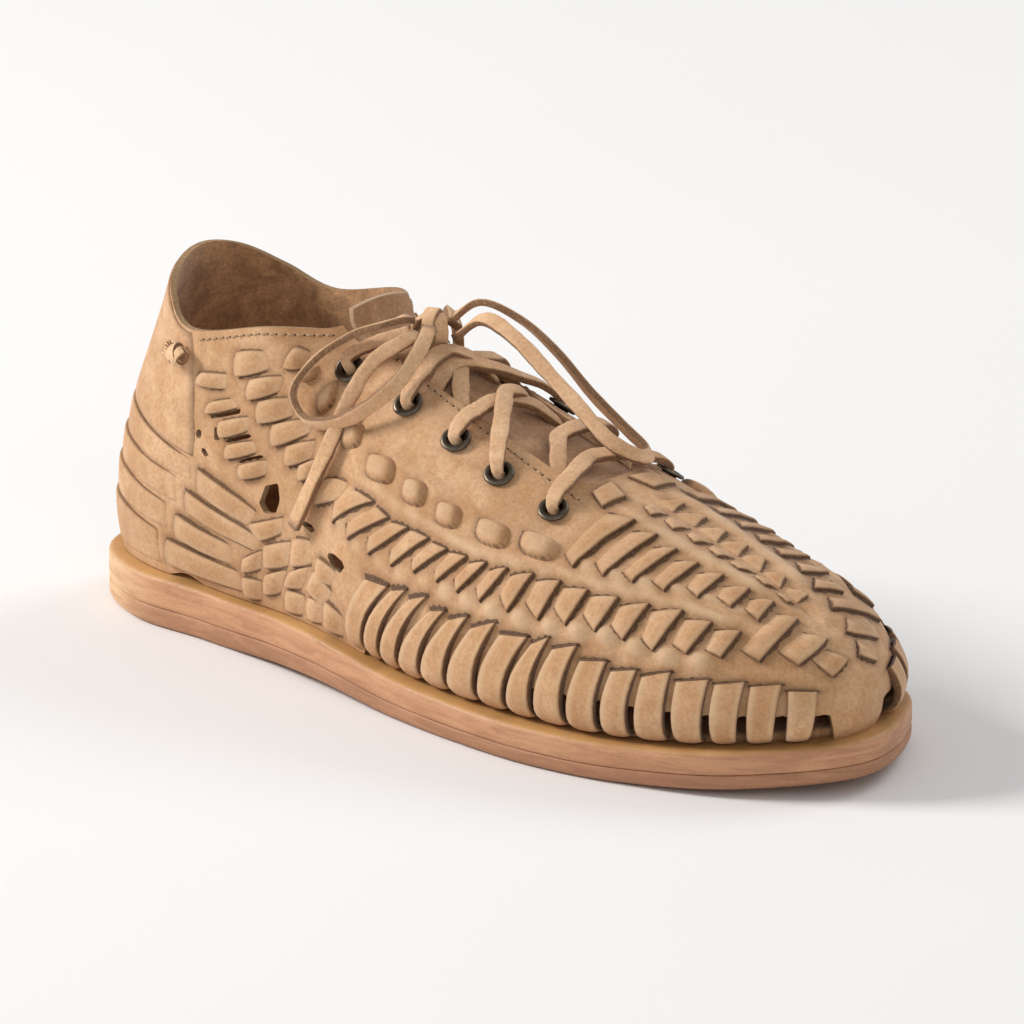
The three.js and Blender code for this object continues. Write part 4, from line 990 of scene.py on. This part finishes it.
# A flat piece with four corners. Its edges (rear, low, front, high) show their cut, or are tucked in at 0.
def tile(pile, corners, edges, rise, side, tone, rounded=0.0):
    corners = np.array(corners).reshape(4, 2)
    if side == 0:
        for k, strength in zip((3, 0, 1, 2), edges):
            if strength > SLIT_FROM:
                a, b = corners[k], corners[(k + 1) % 4]
                short = 0.25 * rounded
                slits.append((mix(a, b, short), mix(b, a, short), min(1, strength * 0.9)))
    u, w = np.meshgrid(STRAP_PROFILE[:, 0], STRAP_PROFILE[:, 0])
    share_u, share_w = np.meshgrid(STRAP_PROFILE[:, 1], STRAP_PROFILE[:, 1])
    dark_u, dark_w = np.meshgrid(STRAP_PROFILE[:, 2], STRAP_PROFILE[:, 2])
    rear, low, front, high = edges
    s = (u * np.sqrt(1 - rounded * w ** 2 / 2) + 1) / 2
    t = (w * np.sqrt(1 - rounded * u ** 2 / 2) + 1) / 2
    tuck = np.ones(u.shape)
    for strength, away in ((rear, s), (low, t), (front, 1 - s), (high, 1 - t)):
        if strength == 0:
            tuck = tuck * mix(0.1, 1, smooth(0, 0.6, away))
    swell = (1 + (0.12 + rounded) * (1 - u ** 2) * (1 - w ** 2)) * mix(1, 1.15, s if front else 1 - s)
    place = [
        mix(mix(corners[0, k], corners[1, k], s), mix(corners[3, k], corners[2, k], s), t) for k in (0, 1)
    ]
    top = 0.75 * relief(*place) + rise * tuck * swell
    depth = mix(TILE_ROOT, top, np.minimum(share_u, share_w))
    edge = np.maximum(dark_u * np.where(u < 0, rear, front), dark_w * np.where(w < 0, low, high))
    rub = rubbed_line(np.maximum(np.abs(u), np.abs(w)), 0.86, 0.12, edge) * 0.6
    grid = skin(sides(place[0], side), place[1], depth)
    pile.add_grid(grid, flip=side == 1, tone=tone, edge=edge, rub=rub)


def tiles(pile, rows, edges, rise, tones, rounded=0.0):
    for side in (0, 1):
        for row in rows:
            moved = np.array(row) + chance.uniform(-0.004, 0.004, 8)
            tile(pile, moved, edges, rise * (1 + jitter(0.1)), side, chance.uniform(*tones), rounded)


def second_row_tiles(pile):
    for side in (0, 1):
        for number in range(FIRST_PIECE, LAST_PIECE + 1):
            t = row_share(number)
            rear_r, rear_v, point_r, point_v, top_r, top_v = second_row(number)
            before = second_row(number - 1)
            high_r, high_v = before[4] + 0.025, before[5] - mix(0.002, 0.03, t)
            if number == FIRST_PIECE:
                high_r, high_v = 6.2, 0.378
            corners = (rear_r, rear_v, point_r, point_v, top_r, top_v, high_r, high_v)
            moved = np.array(corners) + chance.uniform(-0.005, 0.005, 8)
            edges = (0, mix(1, 0.55, t), 1, 1)
            tile(pile, moved, edges, mix(1.0, 1.3, t), side, chance.uniform(0.2, 0.9))


PUFF_POWER = 3.2
PUFF_HEIGHT = 2.8


# Puffed squares under the eyelets: soft domes with a slit on their rear side and a sewn lower edge.
def puffs(pile):
    turns = np.linspace(0, 2 * np.pi, 41)[:-1]
    shares = np.array([1.06, 1.0, 0.95, 0.9, 0.82, 0.7, 0.55, 0.36, 0.15])
    share, turn = np.meshgrid(shares, turns, indexing="ij")
    rounded = np.abs(np.cos(turn)) ** PUFF_POWER + np.abs(np.sin(turn)) ** PUFF_POWER
    square = 1 / rounded ** (1 / PUFF_POWER)
    dome = np.interp(share, shares[::-1], [1.0, 0.97, 0.9, 0.8, 0.66, 0.5, 0.36, 0.2, -0.5])
    rim = smooth(0.7, 0.88, share)
    rear_side = smooth(-0.1, 0.7, -np.cos(turn) + 0.25 * np.sin(turn))
    ragged = 0.5 + 0.5 * np.sign(np.sin(turn * 17))
    low_side = smooth(0.2, 0.8, -np.sin(turn)) * ragged * smooth(0.8, 0.95, share)
    edge = rim * np.maximum(np.maximum(rear_side, 0.75 * low_side), 0.12)
    for side in (0, 1):
        for r0, v0, half_r, half_v in PUFFS:
            r = r0 + half_r * share * square * np.cos(turn)
            v = v0 + half_v * share * square * np.sin(turn) + 0.06 * (r - r0)
            grid = skin(sides(r, side), v, relief(r, v) + PUFF_HEIGHT * dome)
            start = pile.count
            tone = chance.uniform(0.15, 0.5)
            pile.add_grid(grid, flip=side == 0, ring=True, tone=tone, edge=edge, rub=0.4 * (share < 0.7))
            pile.cap(start + (len(shares) - 1) * len(turns), len(turns), flip=side == 0)
            if side == 0:
                low = (r0 - 1.02 * half_r, v0 - 0.8 * half_v)
                slits.append((low, (r0 - half_r, v0 + 0.5 * half_v), 0.7))


BAND_ROOT = -0.8


# Bands round the heel, lapped like boards, and the counter over them. Their lower and upper lines are
# given at the back and at the ends, with the power of the way between them.
def wrapped_band(pile, end, low, high, power, low_rise, high_rise, tone, bead=0.0, dark=0.8):
    share = STRAP_PROFILE[:, 1]
    u = (STRAP_PROFILE[:, 0] + 1) / 2
    r = np.linspace(-end, end, 73)[:, None]
    near = np.abs(r) / end
    v = mix(mix(*low, near ** power), mix(*high, near ** power), u[None, :])
    fade = 1 - 0.8 * smooth(0.8, 1, near) * (bead == 0)
    top = mix(low_rise, high_rise, u[None, :] ** 0.8) * fade + bead * bell((1 - near) * end, 0.06)
    depth = mix(BAND_ROOT, top, share[None, :])
    depth[0] = depth[-1] = BAND_ROOT
    edge = np.broadcast_to(STRAP_PROFILE[None, :, 2], depth.shape) * dark * mix(0.45, 1, near)
    edge[0] = edge[-1] = 0.8
    rub = bell((1 - near) * end, 0.1) * bead * 0.5 * np.ones(depth.shape)
    pile.add_grid(skin(r + 0 * v, v, depth), ring=True, flip=True, tone=tone, edge=edge, rub=rub)


SLIT_THIN = 0.2
SLIT_WIDER = 0.5
SLIT_LIFTS = np.array([0.04, 0.16, 0.04])


# Dark lines of the slits, on the leather beside the pieces: the cut edge of the leather and painted shadow
# in the gap.
def slit_edge_and_shadow_lines(pile):
    t = np.linspace(0, 1, 11)[:, None]
    for side in (0, 1):
        for (r0, v0), (r1, v1), strength in slits:
            a = np.array([r0 * PER_R, v0 * PER_V])
            edge = np.array([r1 * PER_R, v1 * PER_V]) - a
            normal = np.array([edge[1], -edge[0]]) / max(1e-6, np.hypot(*edge))
            ragged = 1 + 0.3 * np.sin(t * 19 + r0 * 7) + 0.2 * np.sin(t * 43 + v0 * 90)
            half = (SLIT_THIN + SLIT_WIDER * strength) * ragged * np.sin(np.pi * mix(0.08, 0.92, t)) ** 0.4
            place = a + edge * t[..., None] + normal * (half * np.array([-1, 0, 1]))[..., None]
            r, v = place[..., 0] / PER_R, np.clip(place[..., 1] / PER_V, 0.005, 0.99)
            grid = skin(sides(r, side), v, relief(r, v) + SLIT_LIFTS)
            pile.add_grid(grid, flip=side == 0, edge=min(1, 0.5 + 0.5 * strength))


straps = Pile()
tall_straps(straps)
second_row_tiles(straps)
tiles(straps, THIRD_ROW, (0, 0.6, 1, 1), 1.15, (0.2, 0.8))
tiles(straps, FOURTH_ROW, (0, 0.7, 0.9, 0), 0.9, (0.2, 0.6))
tiles(straps, SCALES, (1, 0.95, 0, 0.7), 1.2, (0.1, 0.5), 0.5)
tiles(straps, BRAID, (0.8, 0.75, 0, 0.7), 1.0, (0.05, 0.4), 0.35)
tiles(straps, LONG_STRAPS, (1, 0.6, 0, 0.8), 1.3, (0.0, 0.3), 0.25)
puffs(straps)
for end, low_back, high_back, low_front, high_front in HEEL_BANDS:
    band_tone = chance.uniform(0, 0.25)
    wrapped_band(straps, end, (low_back, low_front), (high_back, high_front), 3, 0.3, 1.15, band_tone)
tiles(straps, THROAT_PAD, (0.9, 0.9, 0.9, 0.9), 0.9, (0.5, 0.7))
wrapped_band(straps, COUNTER_END, (0.53, 0.49), (0.985, 0.985), 2, 1.0, 0.9, 0.05, 0.8, 0.6)
slit_edge_and_shadow_lines(straps)
straps.object("weave_straps", [leather])

COLUMNS = 480
LEVELS = 81
THROAT_ROUND = 5
WALL_HEIGHT = 85


def upper_shell():
    columns = np.linspace(0, RING, COLUMNS + 1)
    levels = np.linspace(0, 1, LEVELS)
    r, v = np.meshgrid(columns, levels, indexing="ij")
    along = section_at(r)
    place = skin(r, v)
    x, y, _ = np.moveaxis(place, -1, 0)
    beside = np.abs(y) - THROAT_HALF
    before = x - THROAT_FRONT
    corner = np.maximum(0, beside + THROAT_ROUND) + np.maximum(0, before + THROAT_ROUND)
    field = np.maximum(np.maximum(beside, before), THROAT_BACK - x)
    field = np.maximum(field, corner - THROAT_ROUND)
    for opening in OPENINGS:
        field = np.minimum(field, outside(along, v, opening))
    for eyelet_r, eyelet_v, _ in EYELETS:
        for side in (0, 1):
            centre = skin(sides(eyelet_r, side), eyelet_v)
            field = np.minimum(field, np.linalg.norm(place - centre, axis=-1) - EYELET_HOLE)
    field = np.minimum(field, (v - cut_line(along)) * WALL_HEIGHT)
    index = {}
    points = []
    faces = []

    def held(i, j):
        i = i % COLUMNS
        if j == LEVELS - 1 and min(i, COLUMNS - i) >= THROAT_SECTION * COLUMNS // RING:
            i = min(i, COLUMNS - i)
        return i, j

    def corner_point(i, j):
        key = held(i, j)
        if key not in index:
            index[key] = len(points)
            points.append((columns[key[0]], levels[j]))
        return index[key]

    def crossing(a, b):
        key = tuple(sorted((held(*a), held(*b))))
        if key not in index:
            t = field[a] / (field[a] - field[b])
            index[key] = len(points)
            points.append((mix(columns[a[0]], columns[b[0]], t), mix(levels[a[1]], levels[b[1]], t)))
        return index[key]

    kept = field > 0
    for i in range(COLUMNS):
        for j in range(LEVELS - 1):
            corners = [(i, j), (i + 1, j), (i + 1, j + 1), (i, j + 1)]
            inside = [kept[c] for c in corners]
            if all(inside):
                faces.append([corner_point(*c) for c in corners])
            elif any(inside):
                loop = []
                for k in range(4):
                    a, b = corners[k], corners[(k + 1) % 4]
                    if kept[a]:
                        loop.append(corner_point(*a))
                    if kept[a] != kept[b]:
                        loop.append(crossing(a, b))
                if len(loop) > 2:
                    faces.append(loop)
    r, v = np.array(points).T
    rise = relief(r, v)
    outer = skin(r, v, rise)
    inner = skin(r, v, np.minimum(0, rise * 0.6) - WALL)
    count = len(points)
    directed = set()
    for face in faces:
        directed.update(zip(face, face[1:] + face[:1]))
    border = [edge for edge in directed if (edge[1], edge[0]) not in directed]
    pile = Pile()
    # Raised leather is paler, worn and with painted highlight; beside the slits it gets painted shade.
    raised_wear_and_highlight = smooth(0.35, 1.4, rise)
    pile.add(outer, faces, tone=0.12, rub=0.6 * raised_wear_and_highlight, shade=slit_shade(section_at(r), v))
    pile.add(inner, faces, flip=True, slot_index=1)
    walls = [(b, a, a + count, b + count) for a, b in sorted(border)]
    pile.add(np.concatenate([outer, inner]), walls, slot_index=2)
    pile.object("woven_upper", [leather, lining, cut_edge], ("upper",))


upper_shell()


# Profile of an eyelet's rim: radius, height, wear and painted highlight.
EYELET_PROFILE = np.array([
    (1.75, -2.0, 0), (2.35, -2.0, 0), (2.35, 0.3, 0), (3.9, 0.35, 0), (4.3, 0.55, 0.1), (4.42, 0.85, 0.5),
    (4.3, 1.15, 0.9), (4.0, 1.36, 1), (3.5, 1.42, 0.7), (3.0, 1.36, 0.35), (2.5, 1.1, 0.15),
    (2.1, 0.6, 0.3), (1.85, -0.1, 0.1), (1.75, -1.0, 0), (1.75, -2.0, 0),
])
EYELET_WEAR_AND_HIGHLIGHT = 0.8


# Eyelets: turned rims with a rolled edge.
def eyelets():
    turns = np.linspace(0, 2 * np.pi, 37)[:-1]
    for side, label in ((0, "lateral"), (1, "medial")):
        for number, (r0, v0, seat) in enumerate(EYELETS, 1):
            pile = Pile()
            centre = skin(sides(r0, side), v0)
            out = skin_out(sides(r0, side), v0)
            across = unit(np.cross(out, [0.0, 0.0, 1.0]))
            upward = np.cross(across, out)
            around_axis = across[None] * np.cos(turns)[:, None] + upward[None] * np.sin(turns)[:, None]
            radius, height, rim_wear_and_highlight = (EYELET_PROFILE[:, None, k, None] for k in range(3))
            grid = centre + out * (height + seat) + around_axis[None] * radius
            # Paler metal on the rolled crest: wear and painted highlight.
            rub = np.broadcast_to(rim_wear_and_highlight[..., 0] * EYELET_WEAR_AND_HIGHLIGHT, grid.shape[:2])
            pile.add_grid(grid, ring=True, rub=rub)
            place = f"{label}_{number}"
            pile.object(f"eyelet_rim_{place}", [eyelet_metal], (f"eyelet_{place}",))


eyelets()

# Tongue top: x, z, half width, crown, lean.
TONGUE_TOP = [(101.8, 96.6, 11, 1.6, 0.6), (99.5, 100.4, 11.6, 1.6, 0.85), (98.7, 104, 11, 1.8, 0.95)]


TONGUE_THICKNESS = 1.8
TONGUE_UNDER = 2.6
TONGUE_RIM = 0.56


def tongue():
    across = np.linspace(-1, 1, 25)
    rows = 26

    def face(depth):
        lines = []
        for i in range(rows + 1):
            t = i / rows
            r = mix(9.3, 6.25, t)
            edge_v = mix(0.765, 0.82, t)
            v = mix(1, edge_v, np.abs(across))
            lines.append(skin(np.where(across < 0, r, RING - r), v, -TONGUE_UNDER - depth))
        for x, z, half, crown, lean in TONGUE_TOP:
            drop = crown * across ** 2
            lines.append(np.stack([
                x - depth * lean - drop * 0.6, across * half, z - depth * (1 - lean) - drop,
            ], -1))
        lines = np.array(lines)
        top = np.array([smooth_line(lines[rows - 1:, j], 5) for j in range(len(across))]).transpose(1, 0, 2)
        return np.concatenate([lines[:rows - 1], top])

    def border(leaf):
        return np.concatenate([leaf[:, 0], leaf[-1, 1:], leaf[::-1, -1][1:], leaf[0, ::-1][1:-1]])

    upper_face = face(0)
    lower_face = face(TONGUE_THICKNESS)
    pile = Pile()
    middle = mix(upper_face, lower_face, 0.5)
    rim = np.ones(upper_face.shape[:2])
    rim[:, 1:-1] = 0
    rim[-1] = 1
    pile.add_grid(upper_face, edge=rim * TONGUE_RIM)
    pile.add_grid(lower_face, flip=True)
    loop_upper, loop_lower = border(upper_face), border(lower_face)
    outward = unit(loop_upper - middle.reshape(-1, 3).mean(axis=0))
    half_way = mix(loop_upper, loop_lower, 0.5) + outward * 0.35
    pile.add_grid(np.stack([loop_upper, half_way, loop_lower]), ring=True, edge=0.8)
    pile.object("tongue_leaf", [tongue_suede], ("tongue",))


tongue()


OUTSOLE_SHARE = 0.4


def seam(x):
    return sole_bottom(x) + sole_thickness(x) * OUTSOLE_SHARE


def outsole_middle(x):
    return mix(sole_bottom(x) + 1.9, seam(x), 0.5)


def midsole_middle(x):
    return mix(seam(x), sole_top(x), 0.5)


def worn_top(x):
    return sole_top(x) + 0.06 * np.sin(x * 0.31) + 0.045 * np.sin(x * 0.83 + 1)


# Rounded edges of the sole layers, from below: inset, height line, rise above it, ledge.
OUTSOLE_EDGE = [
    (14.0, sole_bottom, 0, 0), (2.6, sole_bottom, 0, 0), (1.5, sole_bottom, 0.25, 0),
    (0.6, sole_bottom, 0.9, 0), (0.1, sole_bottom, 1.9, 0), (0.05, outsole_middle, 0, 0),
    (0.1, seam, -0.7, 0), (0.2, seam, -0.1, 0), (0.4, seam, 0.05, 0), (8.0, seam, 0.05, 0),
]
MIDSOLE_EDGE = [
    (8.0, seam, 0.2, 0), (0.4, seam, 0.2, 0), (0.2, seam, 0.4, 0), (0.05, seam, 1.1, 0),
    (0.0, midsole_middle, 0, 0), (0.05, sole_top, -1.5, 0), (0.3, worn_top, -0.7, 0.35),
    (0.9, worn_top, -0.2, 0.9), (1.8, sole_top, -0.02, 1), (4.0, sole_top, 0, 1), (9.0, sole_top, 0, 1),
]
INSOLE_EDGE = [
    (3.3, sole_top, 0.3, 0), (2.95, sole_top, 0.7, 0), (2.9, sole_top, 1.6, 0), (3.0, sole_top, 2.3, 0),
    (3.4, sole_top, 2.7, 0), (4.2, sole_top, 2.8, 0), (9.0, sole_top, 2.8, 0), (16.0, sole_top, 2.75, 0),
]
PAINTED_HEEL_LIGHT = 0.9


# A flat layer as rings of its edge's profile, closed below and above.
def layer(name, outline, edge, painted_heel_light, material, slot_name, node_name):
    ring_x, ring_y, count = outline
    x, y, nx, ny = plan(ring_x, ring_y, np.linspace(0, RING, count + 1)[:-1])
    rows, ledges, painted_heel_lights = [], [], []
    for inset, height, rise, ledge in edge:
        rows.append(np.stack([x - nx * inset, y - ny * inset, height(x) + rise], -1))
        ledges.append(np.full(count, ledge))
        # Painted light on the heel's edge, fading towards the front.
        painted_heel_lights.append((1 - ledge) * (1 - smooth(8, 46, x)) * painted_heel_light)
    pile = Pile()
    pile.add_grid(np.array(rows), ring=True, ledge=np.array(ledges), heel=np.array(painted_heel_lights))
    pile.cap(0, count, flip=True)
    pile.cap((len(edge) - 1) * count, count)
    pile.object(name, [material], (node_name,))


sole_plan = (SOLE_X, SOLE_Y, 360)
foot_plan = (FOOT_X, FOOT_Y, 240)
layer("outsole_layer", sole_plan, OUTSOLE_EDGE, PAINTED_HEEL_LIGHT, sole_rubber, "sole_rubber", "outsole")
layer("midsole_layer", sole_plan, MIDSOLE_EDGE, PAINTED_HEEL_LIGHT, sole_leather, "sole_leather", "midsole")
layer("insole_board", foot_plan, INSOLE_EDGE, 0, lining, "lining_suede", "insole")


# One stitch: place along it, swell, sink.
STITCH = np.array([
    (-1, 0.25, -0.45), (-0.92, 0.7, -0.2), (-0.6, 1, 0), (0, 1.05, 0.06), (0.6, 1, 0), (0.92, 0.7, -0.2),
    (1, 0.25, -0.45),
])
# Rows of stitches along the throat and the collar: r, v, spacing, length, radius, lift.
STITCH_ROWS = [
    ([5.95, 6.5, 7.2, 8, 8.6, 9.1], [0.845, 0.81, 0.795, 0.79, 0.78, 0.775], 2.9, 2.0, 0.33, 0.12),
    ([3.12, 3.5, 4, 4.5, 4.9, 5.2], [0.962, 0.967, 0.967, 0.963, 0.955, 0.94], 2.7, 1.7, 0.3, 0.08),
]
FINE_STEPS = 600


# Stitches: short threads that lie along a line, with a near-black disc at each end as painted shade in the
# pricked hole.
def stitch_row(pile, r, v, spacing, length, radius, lift, side):
    fine = np.linspace(0, 1, FINE_STEPS)
    share = np.linspace(0, 1, len(r))
    line_r = np.interp(fine, share, r)
    line_v = np.interp(fine, share, v)
    line = skin(sides(line_r, side), line_v)
    walked = np.concatenate([[0], np.cumsum(np.linalg.norm(np.diff(line, axis=0), axis=1))])
    count = int(walked[-1] // spacing)
    ring = np.linspace(0, 2 * np.pi, 9)[:-1]
    for k in range(count):
        at = (k + 0.5) * spacing
        i = int(np.clip(np.searchsorted(walked, at), 1, FINE_STEPS - 2))
        centre_r, centre_v = line_r[i], line_v[i]
        out = skin_out(sides(centre_r, side), min(NEAR_RIDGE, centre_v))
        centre = skin(sides(centre_r, side), centre_v, lift + relief(centre_r, centre_v))
        along = unit(line[i + 1] - line[i - 1])
        across = np.cross(out, along)
        steps, swell, sink = (STITCH[:, None, k, None] for k in range(3))
        round_it = across * np.cos(ring)[:, None] + out * np.sin(ring)[:, None]
        grid = centre + along * (steps * length / 2) + out * sink + round_it[None] * (radius * swell)
        pile.add_grid(grid, ring=True)
        hole_at = centre + along * spacing / 2 - out * (lift - 0.06)
        hole_shade_disc = hole_at + (along * np.cos(ring)[:, None] + across * np.sin(ring)[:, None]) * radius * 1.15
        # Near-black disc in the pricked hole: painted shade.
        pile.add(hole_shade_disc, [list(range(8))], edge=1.0)


stitches = Pile()
for side in (0, 1):
    for row in STITCH_ROWS:
        stitch_row(stitches, *row, side)
stitches.object("stitching", [thread])


TIE_PLACE = (2.87, 0.885)
TIE_LIFT = 3.4
TIE_WIDTH, TIE_THICKNESS = 2.6, 1.2
FIBRE_WIDTH, FIBRE_THICKNESS = 0.9, 0.6
# Wraps of a tie: shift, lean, size.
TIE_WRAPS = [(-1.4, 1.1, 2.3), (0.2, -1.1, 2.5), (1.5, 0.9, 2.1), (1.2, -0.6, 1.2)]


# Small frayed ties at the front of the counter.
def heel_tie(side, label):
    pile = Pile()
    r0, v0 = TIE_PLACE
    out = skin_out(sides(r0, side), v0)
    centre = skin(sides(r0, side), v0) + out * TIE_LIFT
    along = unit(skin(sides(r0 + 0.05, side), v0) - skin(sides(r0 - 0.05, side), v0))
    upward = np.cross(out, along)
    angles = np.linspace(0, 2 * np.pi, 25)
    for shift, lean, size in TIE_WRAPS:
        ring = (
            centre + along * shift
            + np.outer(np.cos(angles), upward) * size
            + np.outer(np.sin(angles), out) * size * 0.78
            + np.outer(np.cos(angles), along) * lean * size * 0.5
        )
        thong(pile, ring, unit(ring - (centre + along * shift)), width=TIE_WIDTH, thickness=TIE_THICKNESS)
    for turn in np.linspace(0, 2 * np.pi, 15)[:-1]:
        start = centre - along * 2.4 + (upward * math.cos(turn) + out * math.sin(turn)) * 1.2
        heading = unit(-along * 1.0 + (upward * math.cos(turn) + out * (0.6 * math.sin(turn) + 0.1)) * 0.7)
        tip = start + heading * chance.uniform(1.4, 2.8)
        line = smooth_line([start, mix(start, tip, 0.5) + out * 0.3, tip], 4)
        thong(pile, line, np.broadcast_to(out, line.shape), width=FIBRE_WIDTH, thickness=FIBRE_THICKNESS)
    pile.object(f"frayed_tie_{label}", [lace_leather], (f"heel_tie_{label}",))


heel_tie(0, "lateral")
heel_tie(1, "medial")

# Floor, lights and sky
floor_mesh = bpy.data.meshes.new("floor")
FLOOR_HALF = 6
floor_corners = [(x * FLOOR_HALF, y * FLOOR_HALF, 0) for x, y in ((-1, -1), (1, -1), (1, 1), (-1, 1))]
floor_mesh.from_pydata(floor_corners, [], [(0, 1, 2, 3)])
floor_mesh.materials.append(floor_material())
floor = bpy.data.objects.new("floor", floor_mesh)
bpy.context.scene.collection.objects.link(floor)


def area_light(name, place, target, size, power, colour):
    data = bpy.data.lights.new(name, "AREA")
    data.shape = "DISK"
    data.size = size
    data.energy = power
    data.color = colour
    light = bpy.data.objects.new(name, data)
    light.location = place
    light.rotation_euler = (Vector(target) - Vector(place)).to_track_quat("-Z", "Y").to_euler()
    bpy.context.scene.collection.objects.link(light)


# Columns: name, place, target, size, power, colour.
LIGHTS = [
    ("key", (-1.75, -1.3, 1.5), (0, 0, 0.03), 0.9, 60, (1, 0.98, 0.955)),
    ("fill", (1.9, -1.2, 1.2), (0, 0, 0.03), 1.6, 7, (1, 1, 1)),
    ("back", (0.4, 1.8, 1.7), (0, 0, 0.05), 1.4, 15, (1, 1, 1)),
]
SKY_STRENGTH = 0.42
for light in LIGHTS:
    area_light(*light)
world = bpy.data.worlds.new("studio")
world.use_nodes = True
world.node_tree.nodes["Background"].inputs[0].default_value = (1, 1, 1, 1)
world.node_tree.nodes["Background"].inputs[1].default_value = SKY_STRENGTH
bpy.context.scene.world = world
bpy.context.scene.view_settings.view_transform = "Standard"
